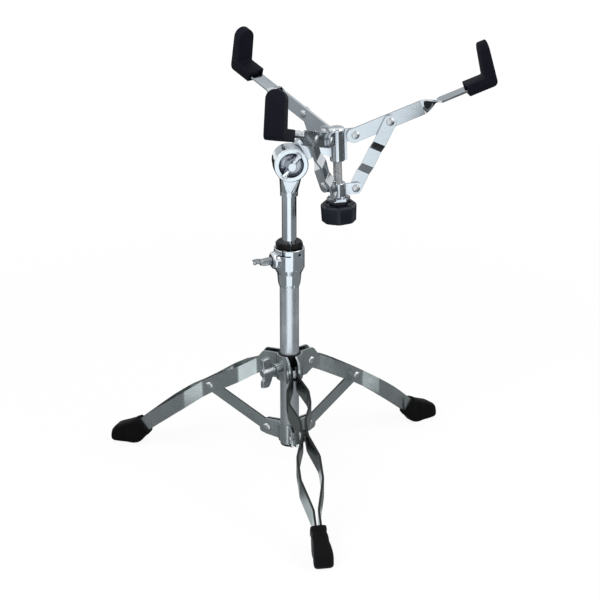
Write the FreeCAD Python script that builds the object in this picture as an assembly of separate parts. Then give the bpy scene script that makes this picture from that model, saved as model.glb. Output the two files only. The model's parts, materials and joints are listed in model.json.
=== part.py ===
import FreeCAD, Part
import math
import os

# Snare drum stand: a folding tripod, a telescopic tube, a tilter and a three-armed basket.
# Millimetres, +Z up. The origin is on the floor under the tube, and the front leg points to -Y.

# Tubes
LOWER_TUBE_D = 25.4
LOWER_TUBE_WALL = 1.5
LOWER_TUBE_L = 281.5
LOWER_TUBE_BELOW_PIVOT = 18.0
UPPER_TUBE_D = 19.05
UPPER_TUBE_WALL = 1.2
UPPER_TUBE_L = 262.0
UPPER_TUBE_OUT = 88.5
PLUG_DEPTH = 14.0
PLUG_RIM = 3.0

# Clearances
SLIDE_FIT = 0.1
SEAT_FIT = 0.03
PIN_FIT = 0.05
SIDE_GAP = 0.3
HUB_SLIDE_FIT = 0.3
OPEN_PIVOT_FIT = 0.6
EDGE_R = 1.0

# Rivets
RIVET_R = 3.0
RIVET_HEAD_R = 5.2
RIVET_HEAD_T = 1.8

# Tripod linkage: leg pivot and strut pivot are equally far from the axis, and the strut
# is as long as the leg's inner part, so the leg hub travels straight along the tube. The
# mouth of the foot lies FOOT_REACH_RATIO times as far from the leg pivot as the strut rivet.
LEG_NAMES = ("front", "right", "left")
LEG_AZIMUTH = -90.0
LEG_STEP = 120.0
PIVOT_R = 32.0
LOWER_PIVOT_Z = 60.0
STRUT_RIVET_R = 116.0
STRUT_RISE = 48.0
FOOT_REACH_RATIO = 31 / 14
FOOT_ENTRY_Z = 30.0

# Leg strips and struts
STRIP_W = 20.0
STRIP_T = 3.0
STRIP_TANG = 27.0
STRIP_BOW_INNER = 10.6
STRIP_BOW_OUTER = 11.0
STRIP_HUB_FLAT = 14.0
STRIP_RIVET_FLAT = 9.0
STRIP_FLARE_INNER = 22.0
STRIP_FLARE_OUTER = 26.0
STRIP_FLARE_FOOT = 32.0
STRIP_BEND_R = 12.0
STRUT_W = 16.0
STRUT_T = 3.0

# Rubber feet
BOOT_H = 25.0
BOOT_W_ENTRY = 15.0
BOOT_W_NOSE = 26.0
BOOT_W_TOE = 20.0
BOOT_REACH = 51.0
BOOT_NOSE_H = 18.0
BOOT_NOSE_RAKE = 3.0
BOOT_NOSE_R = 9.0
BOOT_SIDE_R = 8.0
BOOT_SOLE_R = 7.0
BOOT_HEEL_SET = 17.0
BOOT_HEEL_R = 6.0
BOOT_EDGE_R = 3.0
BOOT_LIP_T = 1.0
BOOT_LIP_L = 6.0
BOOT_RIDGES = 3
BOOT_GROOVE_D = 1.0
BOOT_GROOVE_R = 2.0
BOOT_OVERLAP = 9.5

# Hub plates
PLATE_T = 2.5
EAR_REACH = 10.0
EAR_ROUND = 5.0
LEG_HUB_RISE = 18.0
LEG_HUB_DROP = 18.0
LINER_WALL = 2.2
LINER_LIP = 1.0
LOWER_HUB_RISE = 12.0
LOWER_HUB_DROP = 14.0
HUB_SCREW_R = 2.5
HUB_SCREW_HEAD_R = 4.6
HUB_SCREW_TOP_R = 3.2
HUB_SCREW_HEAD_T = 2.6

# Wing bolts
WING_T = 4.5
WING_HUB_TAPER = 0.75
LEG_CLAMP_AZIMUTH = -150.0
LEG_CLAMP_R = 3.9
LEG_CLAMP_NUT_R = 7.5
LEG_CLAMP_NUT_L = 9.0
LEG_WING_HUB_R = 5.5
LEG_WING_HUB_L = 20.0
LEG_WING_SPAN = 42.0
LEG_WING_ROOT_W = 16.0
LEG_WING_TIP_W = 6.0
LEG_WING_FLARE = 5.0
HEIGHT_CLAMP_AZIMUTH = -165.0
HEIGHT_CLAMP_DROP = 15.5
HEIGHT_CLAMP_R = 3.9
HEIGHT_WING_HUB_R = 5.5
HEIGHT_WING_HUB_L = 15.5
HEIGHT_WING_SPAN = 36.0
HEIGHT_WING_ROOT_W = 13.0
HEIGHT_WING_TIP_W = 7.0
HEIGHT_WING_FLARE = 7.0
HEIGHT_TIP_L = 7.0
HEIGHT_TIP_R = 2.6
HEIGHT_WING_ROLL = 9.0

# Height collar and its bushing
COLLAR_R = 20.0
COLLAR_WAIST_R = 16.0
COLLAR_FOOT_R = 14.6
COLLAR_H = 53.5
COLLAR_BAND_H = 27.5
COLLAR_LIP_T = 0.5
COLLAR_LIP_H = 4.0
COLLAR_ROUND = 3.0
COLLAR_BOSS_R = 12.0
COLLAR_BOSS_ROUND = 5.0
COLLAR_BOSS_REACH = 25.5
COLLAR_SLOT_W = 1.6
COLLAR_SLIT_W = 3.0
COLLAR_TAB_H = 8.0
COLLAR_SLIT_TURN = 42.0
COLLAR_SLOT_LEAD = 20.0
COLLAR_SLOT_SPAN = 50.0
COLLAR_HOLE_R = 2.2
COLLAR_HOLE_DROP = 6.5
COLLAR_HOLE_TURN = 109.0
COLLAR_NOTCH_W = 4.0
COLLAR_NOTCH_H = 3.0
COLLAR_NOTCH_TURN = 62.0
BUSH_SIDES = 8
BUSH_FLANGE_AF = 34.0
BUSH_FLANGE_H = 8.5
BUSH_SLEEVE_L = 34.0
BUSH_SLIT_W = 2.0
GUIDE_BUSH_L = 22.0

# Tilter
TILT_RISE = 27.0
YOKE_RING_R = 22.0
YOKE_RING_T = 18.0
YOKE_RECESS_R = 16.0
YOKE_RECESS_D = 8.0
YOKE_BOWL_R = 6.0
YOKE_FACE_Y = -2.0
YOKE_SOCKET_R = 11.5
YOKE_SOCKET_DROP = 45.0
YOKE_NECK_HALF_W = 13.5
YOKE_NECK_R = 3.0
YOKE_FOOT_FLAT = 0.2
YOKE_EDGE_R = 1.5
YOKE_RELIEF = 1.0
TILT_BOLT_R = 4.0
TILT_WING_HUB_R = 9.0
TILT_WING_HUB_L = 16.0
TILT_WING_SPAN = 40.0
TILT_WING_ROOT_W = 16.0
TILT_WING_TIP_W = 7.0
TILT_WING_FLARE = 6.0
TILT_WING_ROLL = 55.0
WASHER_T = 1.4
WASHER_R = 16.0
HEAD_DISC_R = 20.5
HEAD_DISC_T = 14.0
TILT_NUT_AF = 13.0
TILT_NUT_T = 6.5

# Basket head, in its own upright frame about the tilt axis
BASKET_TILT = 2.0
HUB_DX = 64.5
HUB_Y = 12.0
HUB_DZ = 24.8
BRACKET_T = 12.0
BRACKET_FOOT_DROP = 1.0
BRACKET_LOW_DEG = -50.0
BRACKET_HIGH_DEG = 70.0
BRACKET_ROOT_INSET = 2.0
BRACKET_CREST_X = 19.4
BRACKET_CREST_DROP = 2.0
BRACKET_ARCH_W = 27.0
BRACKET_ARCH_H = 6.0
BRACKET_ARCH_R = 8.0
BRACKET_ROUND = 3.0
BRACKET_SLOT_W = 7.0
BRACKET_SLOT_H = 15.0
BRACKET_SLOT_R = 2.0
BASKET_COLUMN_R = 9.5
BASKET_COLUMN_DROP = 33.0
BASKET_CAP_H = 12.0
BASKET_CAP_RIM = 1.0
RIB_R = 12.7
TAB_T = 3.0
TAB_INSET = 1.0
ROUND_SHARE = 0.9
ROD_R = 5.8
ROD_SEAT = 16.0
ROD_INSET = 4.0

# Basket arms, links and slide collar
ARM_NAMES = ("right", "rear", "front")
ARM_STEP = 120.0
ARM_PIVOT_R = 23.5
ARM_RISE_DEG = 18.4
ARM_W = 19.0
ARM_T = 3.0
ARM_TAIL = 11.0
ARM_TWIST_START = 93.0
ARM_TWIST_END = 117.0
ARM_TWIST_STEPS = 4
ARM_RIVET_S = 47.3
LINK_L = 98.1
LINK_W = 17.0
LINK_T = 3.0
LINK_FIRST_STEP = 31.0
LINK_SECOND_STEP = 64.0
LINK_STEP_L = 11.0
LINK_BEND_R = 4.0
SLIDER_R = 9.5
SLIDER_RISE = 10.0
SLIDER_DROP = 13.2
SLIDER_FLANGE_AF = 27.0
SLIDER_FLANGE_T = 3.5

# Grips on the arms
GRIP_W = 25.0
GRIP_START = 153.0
GRIP_HEEL_S = 192.5
GRIP_UNDER = 7.0
GRIP_OVER = 8.0
GRIP_TOP = 52.0
GRIP_LEAN = 4.0
GRIP_HEEL_T = 12.0
GRIP_TIP_T = 9.0
GRIP_ROUND = 12.0
GRIP_HEEL_R = 6.0
GRIP_TIP_R = 4.0
GRIP_EDGE_R = 3.0

# Knob under the basket
KNOB_R = 23.4
KNOB_H = 24.0
KNOB_NECK_R = 12.0
KNOB_NECK_H = 4.0
KNOB_DRAFT = 1.0
KNOB_EDGE_R = 3.0
KNOB_SIDES = 8
KNOB_CORNER_R = 4.0
KNOB_TURN = -99.0
KNOB_RIM_W = 6.0
KNOB_DISH = 3.0
INSERT_R = 8.0

# Places worked out from the sizes above
LOWER_TUBE_R = LOWER_TUBE_D / 2
LOWER_BORE_R = LOWER_TUBE_R - LOWER_TUBE_WALL
LOWER_TUBE_FOOT_Z = LOWER_PIVOT_Z - LOWER_TUBE_BELOW_PIVOT
LOWER_TUBE_TOP_Z = LOWER_TUBE_FOOT_Z + LOWER_TUBE_L
UPPER_TUBE_R = UPPER_TUBE_D / 2
UPPER_TUBE_TOP_Z = LOWER_TUBE_TOP_Z + UPPER_TUBE_OUT
UPPER_TUBE_FOOT_Z = UPPER_TUBE_TOP_Z - UPPER_TUBE_L
TILT_Z = UPPER_TUBE_TOP_Z + TILT_RISE
HEIGHT_CLAMP_Z = LOWER_TUBE_TOP_Z - HEIGHT_CLAMP_DROP
RIVET_Z = LOWER_PIVOT_Z + STRUT_RISE
UPPER_PIVOT_Z = LOWER_PIVOT_Z + 2 * STRUT_RISE
FOOT_ENTRY_R = PIVOT_R + (STRUT_RIVET_R - PIVOT_R) * FOOT_REACH_RATIO
STRIP_IN = STRUT_T / 2 + SIDE_GAP
STRIP_OUT = STRIP_IN + STRIP_T
LINER_R = LOWER_TUBE_R + HUB_SLIDE_FIT + LINER_WALL
COLLAR_FOOT_Z = LOWER_TUBE_TOP_Z - COLLAR_H
HEAD_FACE_Y = YOKE_FACE_Y + WASHER_T + SIDE_GAP
ARM_IN = TAB_T / 2 + SIDE_GAP
ARM_OUT = ARM_IN + ARM_T
ARM_MIDDLE_T = -(ARM_IN + ARM_OUT) / 2
LINK_TOP_T = -(ARM_OUT + SIDE_GAP + LINK_T / 2)
LINK_FOOT_T = TAB_T / 2 + SIDE_GAP + LINK_T / 2
ARM_RISE = math.radians(ARM_RISE_DEG)
SLIDER_PIVOT_H = ARM_RIVET_S * math.sin(ARM_RISE) - math.sqrt(
    LINK_L ** 2 - (ARM_RIVET_S * math.cos(ARM_RISE)) ** 2)
SLIDER_FOOT_H = SLIDER_PIVOT_H - SLIDER_DROP
KNOB_TOP_H = SLIDER_FOOT_H - SIDE_GAP
KNOB_FOOT_H = KNOB_TOP_H - KNOB_NECK_H - KNOB_H

UP = FreeCAD.Vector(0, 0, 1)
ALONG_X = FreeCAD.Vector(1, 0, 0)
ALONG_Y = FreeCAD.Vector(0, 1, 0)
ORIGIN = FreeCAD.Vector(0, 0, 0)
FAR = 600.0
NEAR = 1e-6


def vec(x, y, z):
    return FreeCAD.Vector(x, y, z)


def unit(u, v):
    length = math.hypot(u, v)
    return u / length, v / length


def rounded_wire(corners, lift):
    """Closed wire through (u, v, radius) corners; lift turns (u, v) into a point."""
    spans = []
    for i, (u, v, radius) in enumerate(corners):
        before = corners[i - 1]
        after = corners[(i + 1) % len(corners)]
        a = unit(before[0] - u, before[1] - v)
        b = unit(after[0] - u, after[1] - v)
        straight = abs(a[0] * b[1] - a[1] * b[0]) < NEAR
        if radius == 0 or straight:
            spans.append([(u, v)])
            continue
        half = math.acos(a[0] * b[0] + a[1] * b[1]) / 2
        reach = radius / math.tan(half)
        depth = radius / math.sin(half) - radius
        inward = unit(a[0] + b[0], a[1] + b[1])
        spans.append([
            (u + a[0] * reach, v + a[1] * reach),
            (u + inward[0] * depth, v + inward[1] * depth),
            (u + b[0] * reach, v + b[1] * reach),
        ])
    edges = []
    for i, span in enumerate(spans):
        if len(span) == 3:
            edges.append(Part.Arc(*[lift(*point) for point in span]).toShape())
        start = lift(*span[-1])
        end = lift(*spans[(i + 1) % len(spans)][0])
        if start.distanceToPoint(end) > NEAR:
            edges.append(Part.makeLine(start, end))
    return Part.Wire(edges)


def side_plate(corners, t0, t1):
    """Plate with an (x, z) outline, from y = t0 to y = t1."""
    face = Part.Face(rounded_wire(corners, lambda u, v: vec(u, t0, v)))
    return face.extrude(vec(0, t1 - t0, 0))


def plan_plate(corners, z0, z1):
    """Plate with an (x, y) outline, from z0 to z1."""
    face = Part.Face(rounded_wire(corners, lambda u, v: vec(u, v, z0)))
    return face.extrude(vec(0, 0, z1 - z0))


def bent_plate(line, t0, t1, bend_r, z0, z1):
    """Bent strip on edge: its two faces run beside the (x, y) line, at t0 and t1 from it."""
    radii = [0] + [bend_r] * (len(line) - 2) + [0]
    near = [(x, y + t0, radius) for (x, y), radius in zip(line, radii)]
    far = [(x, y + t1, radius) for (x, y), radius in zip(line, radii)]
    return plan_plate(near + far[::-1], z0, z1)


def turned(corners):
    """Solid turned about Z from a closed (radius, z) outline."""
    face = Part.Face(rounded_wire(corners, lambda u, v: vec(u, 0, v)))
    return face.revolve(ORIGIN, UP, 360)


def ring(outer, inner, z0, z1):
    return turned([(inner, z0, 0), (outer, z0, 0), (outer, z1, 0), (inner, z1, 0)])


def bar(radius, start, direction, length):
    return Part.makeCylinder(radius, length, start, direction)


def cross_bar(radius, x, z, t0, t1):
    """Round bar along Y through (x, z)."""
    return bar(radius, vec(x, t0, z), ALONG_Y, t1 - t0)


def prism(sides, corner_r, z0, z1, edge_r=0):
    """Regular prism about Z, with its first corner on X."""
    angles = [2 * math.pi / sides * i for i in range(sides)]
    return plan_plate([(corner_r * math.cos(a), corner_r * math.sin(a), edge_r) for a in angles], z0, z1)


def hexagon(across_flats, z0, z1):
    return prism(6, across_flats / math.sqrt(3), z0, z1)


def rotated(shape, degrees, axis=UP, centre=ORIGIN):
    copy = shape.copy()
    copy.rotate(centre, axis, degrees)
    return copy


def moved(shape, x, y, z):
    copy = shape.copy()
    copy.translate(vec(x, y, z))
    return copy


def fused(first, *others):
    return first.fuse(list(others)).removeSplitter()


def mirrored(shape):
    return shape.mirror(ORIGIN, ALONG_Y)


def rivet(x, z, t0, t1):
    """Rivet along Y whose heads bear on y = t0 and y = t1."""
    rim = RIVET_HEAD_R - RIVET_HEAD_T / 2
    shank = cross_bar(RIVET_R, x, z, t0, t1)
    low = Part.makeCone(rim, RIVET_HEAD_R, RIVET_HEAD_T, vec(x, t0 - RIVET_HEAD_T, z), ALONG_Y)
    high = Part.makeCone(RIVET_HEAD_R, rim, RIVET_HEAD_T, vec(x, t1, z), ALONG_Y)
    return fused(shank, low, high)


def strap(length, width, t0, t1):
    """Flat bar along X between two pivots, with round ends, from y = t0 to y = t1."""
    half = width / 2
    edges = [
        Part.makeLine(vec(0, t0, -half), vec(length, t0, -half)),
        Part.Arc(vec(length, t0, -half), vec(length + half, t0, 0), vec(length, t0, half)).toShape(),
        Part.makeLine(vec(length, t0, half), vec(0, t0, half)),
        Part.Arc(vec(0, t0, half), vec(-half, t0, 0), vec(0, t0, -half)).toShape(),
    ]
    return Part.Face(Part.Wire(edges)).extrude(vec(0, t1 - t0, 0))


def ball_tip(start_x, length, radius):
    """Slim stem along X with a ball at its end."""
    stem = bar(radius / 2, vec(start_x, 0, 0), ALONG_X, length)
    return fused(stem, Part.makeSphere(radius, vec(start_x + length, 0, 0)))


def wing_bolt(tip_x, shank_r, hub_x, hub_r, hub_l, span, root_w, tip_w, flare):
    """Wing bolt along X: its shank starts at tip_x and its hub at hub_x."""
    shank = bar(shank_r, vec(tip_x, 0, 0), ALONG_X, hub_x - tip_x + hub_l / 2)
    hub = Part.makeCone(hub_r, hub_r * WING_HUB_TAPER, hub_l, vec(hub_x, 0, 0), ALONG_X)
    middle = hub_x + hub_l / 2
    outer = middle + flare + tip_w / 2
    inner = middle + flare - tip_w / 2
    wings = plan_plate([
        (inner, -span / 2, tip_w / 3),
        (outer, -span / 2, tip_w / 3),
        (middle + root_w / 2, 0, root_w / 2),
        (outer, span / 2, tip_w / 3),
        (inner, span / 2, tip_w / 3),
        (middle - root_w / 2, 0, root_w / 2),
    ], -WING_T / 2, WING_T / 2)
    return fused(hub, shank, wings)


def save(name, shape):
    shape.exportStep("parts/%s.step" % name)


def leg_azimuth(index):
    return LEG_AZIMUTH + LEG_STEP * index


# Lower tube and what is fixed to it

def lower_tube():
    tube = ring(LOWER_TUBE_R, LOWER_BORE_R, LOWER_TUBE_FOOT_Z, LOWER_TUBE_TOP_Z)
    clamp_hole = bar(HEIGHT_CLAMP_R + SIDE_GAP, vec(0, 0, HEIGHT_CLAMP_Z), ALONG_X, FAR)
    return tube.cut(rotated(clamp_hole, HEIGHT_CLAMP_AZIMUTH)).cut(hub_screw_hole())


def tube_end_plug():
    body_r = LOWER_BORE_R - SEAT_FIT
    wall = LOWER_TUBE_WALL
    foot = LOWER_TUBE_FOOT_Z
    top = foot + PLUG_DEPTH
    return turned([
        (0, foot - PLUG_RIM, 0), (LOWER_TUBE_R, foot - PLUG_RIM, wall), (LOWER_TUBE_R, foot, 0),
        (body_r, foot, 0), (body_r, top, wall / 2), (body_r - 2 * wall, top, 0),
        (body_r - 2 * wall, foot, 0), (0, foot, 0),
    ])


def hub_screw_azimuth():
    return leg_azimuth(1) + LEG_STEP / 2


def hub_screw_hole():
    hole = bar(HUB_SCREW_R + PIN_FIT, vec(0, 0, LOWER_PIVOT_Z), ALONG_X, FAR)
    return rotated(hole, hub_screw_azimuth())


def hub_plate(ring_r, ear_t, ear, z0, z1, pivot_z):
    """Pressed plate that wraps the tube from the leg at 0 to the next one, with an ear at each."""
    wrap = ring(ring_r + PLATE_T, ring_r, z0, z1)
    beside_first = Part.makeBox(2 * FAR, FAR, z1 - z0, vec(-FAR, ear_t, z0))
    beside_next = Part.makeBox(2 * FAR, FAR, z1 - z0, vec(-FAR, -ear_t - FAR, z0))
    wrap = wrap.common(beside_first).common(rotated(beside_next, LEG_STEP))
    first_ear = side_plate(ear, ear_t, ear_t + PLATE_T)
    next_ear = rotated(side_plate(ear, -ear_t - PLATE_T, -ear_t), LEG_STEP)
    plate = fused(wrap, first_ear, next_ear)
    hole = cross_bar(RIVET_R + PIN_FIT, PIVOT_R, pivot_z, -FAR, FAR)
    hole = hole.common(Part.makeBox(FAR, 2 * FAR, FAR, vec(0, -FAR, 0)))
    return plate.cut(hole).cut(rotated(hole, LEG_STEP))


def ear_root(ring_r, ear_t):
    return math.sqrt(ring_r ** 2 - ear_t ** 2)


def lower_hub_plate():
    ring_r = LOWER_TUBE_R + SEAT_FIT
    z0 = LOWER_PIVOT_Z - LOWER_HUB_DROP
    z1 = LOWER_PIVOT_Z + LOWER_HUB_RISE
    root = ear_root(ring_r, STRIP_IN)
    tip = PIVOT_R + EAR_REACH
    ear = [
        (root, z0, 0),
        (PIVOT_R, z0 + LOWER_HUB_DROP / 4, EAR_ROUND),
        (tip, LOWER_PIVOT_Z - LOWER_HUB_DROP / 2, EAR_ROUND),
        (tip, LOWER_PIVOT_Z + LOWER_HUB_RISE / 2, EAR_ROUND),
        (PIVOT_R, z1, EAR_ROUND),
        (root, z1, 0),
    ]
    return hub_plate(ring_r, STRIP_IN, ear, z0, z1, LOWER_PIVOT_Z)


def leg_hub_ear_t():
    return STRIP_OUT + SIDE_GAP


def leg_hub_plate():
    ring_r = LINER_R + SEAT_FIT
    z0 = UPPER_PIVOT_Z - LEG_HUB_DROP
    z1 = UPPER_PIVOT_Z + LEG_HUB_RISE
    root = ear_root(ring_r, leg_hub_ear_t())
    tip = PIVOT_R + EAR_REACH
    ear = [
        (root, z0, 0),
        ((root + PIVOT_R) / 2, z0, EAR_ROUND),
        (tip, UPPER_PIVOT_Z - LEG_HUB_DROP / 3, EAR_ROUND),
        (tip, UPPER_PIVOT_Z + LEG_HUB_RISE / 2, EAR_ROUND),
        (PIVOT_R + EAR_REACH / 3, z1, EAR_ROUND),
        (root, z1, 0),
    ]
    return hub_plate(ring_r, leg_hub_ear_t(), ear, z0, z1, UPPER_PIVOT_Z)


def hub_fixing_screw():
    plate_out = LOWER_TUBE_R + SEAT_FIT + PLATE_T
    shank = bar(HUB_SCREW_R, vec(LOWER_BORE_R, 0, 0), ALONG_X, plate_out - LOWER_BORE_R)
    seat = vec(plate_out, 0, 0)
    head = Part.makeCone(HUB_SCREW_HEAD_R, HUB_SCREW_TOP_R, HUB_SCREW_HEAD_T, seat, ALONG_X)
    screw = moved(fused(shank, head), 0, 0, LOWER_PIVOT_Z)
    return rotated(screw, hub_screw_azimuth())


def height_collar():
    top = LOWER_TUBE_TOP_Z
    band = top - COLLAR_BAND_H
    bore = LOWER_TUBE_R + SEAT_FIT
    step = COLLAR_R - COLLAR_WAIST_R
    body = turned([
        (bore, COLLAR_FOOT_Z, 0),
        (bore + COLLAR_LIP_T, COLLAR_FOOT_Z, 0),
        (COLLAR_FOOT_R, COLLAR_FOOT_Z + COLLAR_LIP_H, COLLAR_ROUND),
        (COLLAR_WAIST_R, band - 2 * step, COLLAR_ROUND),
        (COLLAR_R, band, COLLAR_ROUND),
        (COLLAR_R, top, EDGE_R),
        (bore, top, 0),
    ])
    middle = vec(0, 0, HEIGHT_CLAMP_Z)
    boss = bar(COLLAR_BOSS_R, middle, ALONG_X, COLLAR_BOSS_REACH)
    rim = [edge for edge in boss.Edges if edge.BoundBox.XMin > COLLAR_BOSS_REACH / 2]
    boss = boss.makeFillet(COLLAR_BOSS_ROUND, rim)
    core = bar(bore, vec(0, 0, COLLAR_FOOT_Z), UP, COLLAR_H)
    boss = rotated(boss, HEIGHT_CLAMP_AZIMUTH).cut(core)
    lid = bar(COLLAR_BOSS_REACH * 2, vec(0, 0, top), UP, COLLAR_BOSS_R)
    body = fused(body, boss.cut(lid))
    bolt_hole = bar(HEIGHT_CLAMP_R + SLIDE_FIT, middle, ALONG_X, FAR)
    body = body.cut(rotated(bolt_hole, HEIGHT_CLAMP_AZIMUTH))
    pin_hole = bar(COLLAR_HOLE_R, vec(0, 0, top - COLLAR_HOLE_DROP), ALONG_X, FAR)
    notch = Part.makeBox(FAR, COLLAR_NOTCH_W, COLLAR_NOTCH_H, vec(0, -COLLAR_NOTCH_W / 2, COLLAR_FOOT_Z))
    body = body.cut(rotated(pin_hole, HEIGHT_CLAMP_AZIMUTH + COLLAR_HOLE_TURN))
    body = body.cut(rotated(notch, HEIGHT_CLAMP_AZIMUTH + COLLAR_NOTCH_TURN))
    return body.cut(collar_tab_cut())


def collar_tab_cut():
    """Level slot and upright slit that free a springy tab in the collar's rim."""
    slit_azimuth = HEIGHT_CLAMP_AZIMUTH + COLLAR_SLIT_TURN
    slot_z = LOWER_TUBE_TOP_Z - COLLAR_TAB_H
    slot = Part.makeCylinder(COLLAR_R * 2, COLLAR_SLOT_W, vec(0, 0, slot_z), UP, COLLAR_SLOT_SPAN)
    slot = rotated(slot, slit_azimuth - COLLAR_SLOT_LEAD)
    corner = vec(0, -COLLAR_SLIT_W / 2, slot_z)
    slit = Part.makeBox(COLLAR_R * 2, COLLAR_SLIT_W, COLLAR_TAB_H * 2, corner)
    return slot.fuse(rotated(slit, slit_azimuth))


def height_bushing():
    flange_z = LOWER_TUBE_TOP_Z
    top = flange_z + BUSH_FLANGE_H
    bore = UPPER_TUBE_R + SLIDE_FIT
    sleeve = ring(LOWER_BORE_R - SEAT_FIT, bore, flange_z - BUSH_SLEEVE_L, flange_z)
    half_side = math.pi / BUSH_SIDES
    corner_r = BUSH_FLANGE_AF / 2 / math.cos(half_side)
    flange = rotated(prism(BUSH_SIDES, corner_r, flange_z, top), math.degrees(half_side))
    bevel = BUSH_FLANGE_H / 3
    crown = turned([
        (0, flange_z, 0), (corner_r - bevel, flange_z, 0), (corner_r, flange_z + bevel, 0),
        (corner_r, top - bevel, 0), (corner_r - bevel, top, 0), (0, top, 0),
    ])
    flange = flange.common(crown).cut(bar(bore, vec(0, 0, flange_z), UP, BUSH_FLANGE_H))
    slit = Part.makeBox(FAR, BUSH_SLIT_W, FAR, vec(0, -BUSH_SLIT_W / 2, flange_z - BUSH_SLEEVE_L))
    return fused(sleeve, flange).cut(rotated(slit, LEG_AZIMUTH))


def height_wing_bolt():
    tip = LOWER_BORE_R + SEAT_FIT
    hub_x = COLLAR_BOSS_REACH + SIDE_GAP
    bolt = wing_bolt(
        tip, HEIGHT_CLAMP_R, hub_x, HEIGHT_WING_HUB_R, HEIGHT_WING_HUB_L,
        HEIGHT_WING_SPAN, HEIGHT_WING_ROOT_W, HEIGHT_WING_TIP_W, HEIGHT_WING_FLARE)
    bolt = fused(bolt, ball_tip(hub_x + HEIGHT_WING_HUB_L, HEIGHT_TIP_L, HEIGHT_TIP_R))
    bolt = rotated(bolt, HEIGHT_WING_ROLL, ALONG_X)
    return rotated(moved(bolt, 0, 0, HEIGHT_CLAMP_Z), HEIGHT_CLAMP_AZIMUTH)


# Leg hub that slides on the lower tube

def leg_hub_liner():
    z0 = UPPER_PIVOT_Z - LEG_HUB_DROP
    z1 = UPPER_PIVOT_Z + LEG_HUB_RISE
    bore = LOWER_TUBE_R + HUB_SLIDE_FIT
    return turned([
        (bore, z0, 0), (LINER_R, z0, 0), (LINER_R, z1 + LINER_LIP, LINER_LIP / 2), (bore, z1 + LINER_LIP, 0),
    ])


def leg_clamp_nut():
    seat_r = LINER_R + SEAT_FIT + PLATE_T
    nut = bar(LEG_CLAMP_NUT_R, vec(0, 0, UPPER_PIVOT_Z), ALONG_X, seat_r + LEG_CLAMP_NUT_L)
    nut = nut.cut(bar(LEG_CLAMP_R + SLIDE_FIT, vec(0, 0, UPPER_PIVOT_Z), ALONG_X, FAR))
    nut = nut.cut(bar(seat_r, vec(0, 0, 0), UP, FAR))
    return rotated(nut, LEG_CLAMP_AZIMUTH)


def leg_clamp_hole():
    hole = bar(LEG_CLAMP_R + SIDE_GAP, vec(0, 0, UPPER_PIVOT_Z), ALONG_X, FAR)
    return rotated(hole, LEG_CLAMP_AZIMUTH)


def leg_wing_bolt():
    tip = LINER_R + SEAT_FIT
    hub_x = LINER_R + PLATE_T + LEG_CLAMP_NUT_L + SIDE_GAP
    bolt = wing_bolt(
        tip, LEG_CLAMP_R, hub_x, LEG_WING_HUB_R, LEG_WING_HUB_L,
        LEG_WING_SPAN, LEG_WING_ROOT_W, LEG_WING_TIP_W, LEG_WING_FLARE)
    bolt = rotated(bolt, 90, ALONG_X)
    return rotated(moved(bolt, 0, 0, UPPER_PIVOT_Z), LEG_CLAMP_AZIMUTH)


# Legs and struts, drawn along +X and then turned to their azimuth

def circle_through(p, q, s):
    ax, az, bx, bz, cx, cz = p[0], p[1], q[0], q[1], s[0], s[1]
    d = 2 * (ax * (bz - cz) + bx * (cz - az) + cx * (az - bz))
    a2 = ax * ax + az * az
    b2 = bx * bx + bz * bz
    c2 = cx * cx + cz * cz
    x = (a2 * (bz - cz) + b2 * (cz - az) + c2 * (az - bz)) / d
    z = (a2 * (cx - bx) + b2 * (ax - cx) + c2 * (bx - ax)) / d
    return x, z, math.hypot(ax - x, az - z)


LEG_ARC = circle_through(
    (PIVOT_R, UPPER_PIVOT_Z), (STRUT_RIVET_R, RIVET_Z), (FOOT_ENTRY_R, FOOT_ENTRY_Z))


def leg_angle(x, z):
    return math.atan2(z - LEG_ARC[1], x - LEG_ARC[0])


def leg_point(angle, offset):
    """Point of the arched leg line; offset is outwards from its circle."""
    radius = LEG_ARC[2] + offset
    return LEG_ARC[0] + radius * math.cos(angle), LEG_ARC[1] + radius * math.sin(angle)


def leg_band():
    """Side view of a leg strip: an arched band with a round inner end."""
    half = STRIP_W / 2
    first = leg_angle(PIVOT_R, UPPER_PIVOT_Z)
    last = leg_angle(FOOT_ENTRY_R, FOOT_ENTRY_Z) - STRIP_TANG / LEG_ARC[2]
    middle = (first + last) / 2

    def at(angle, offset):
        x, z = leg_point(angle, offset)
        return vec(x, 0, z)

    pivot = vec(PIVOT_R, 0, UPPER_PIVOT_Z)
    inward = vec(-math.sin(first), 0, math.cos(first)) * half
    edges = [
        Part.Arc(at(first, half), at(middle, half), at(last, half)).toShape(),
        Part.makeLine(at(last, half), at(last, -half)),
        Part.Arc(at(last, -half), at(middle, -half), at(first, -half)).toShape(),
        Part.Arc(at(first, -half), pivot + inward, at(first, half)).toShape(),
    ]
    return Part.Face(Part.Wire(edges)).extrude(vec(0, FAR, 0))


def strip_plan():
    """Plan view of a leg strip: pinched at both pivots and at the foot, bent out between."""
    hub_end = PIVOT_R + STRIP_HUB_FLAT
    rivet_start = STRUT_RIVET_R - STRIP_RIVET_FLAT
    rivet_end = STRUT_RIVET_R + STRIP_RIVET_FLAT
    foot_start = FOOT_ENTRY_R - BOOT_OVERLAP
    line = [
        (PIVOT_R - STRIP_W, 0),
        (hub_end, 0),
        (hub_end + STRIP_FLARE_INNER, STRIP_BOW_INNER),
        (rivet_start - STRIP_FLARE_INNER, STRIP_BOW_INNER),
        (rivet_start, 0),
        (rivet_end, 0),
        (rivet_end + STRIP_FLARE_OUTER, STRIP_BOW_OUTER),
        (foot_start - STRIP_FLARE_FOOT, STRIP_BOW_OUTER),
        (foot_start, 0),
        (FOOT_ENTRY_R + STRIP_TANG * 2, 0),
    ]
    return bent_plate(line, STRIP_IN, STRIP_OUT, STRIP_BEND_R, 0, FAR)


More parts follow.
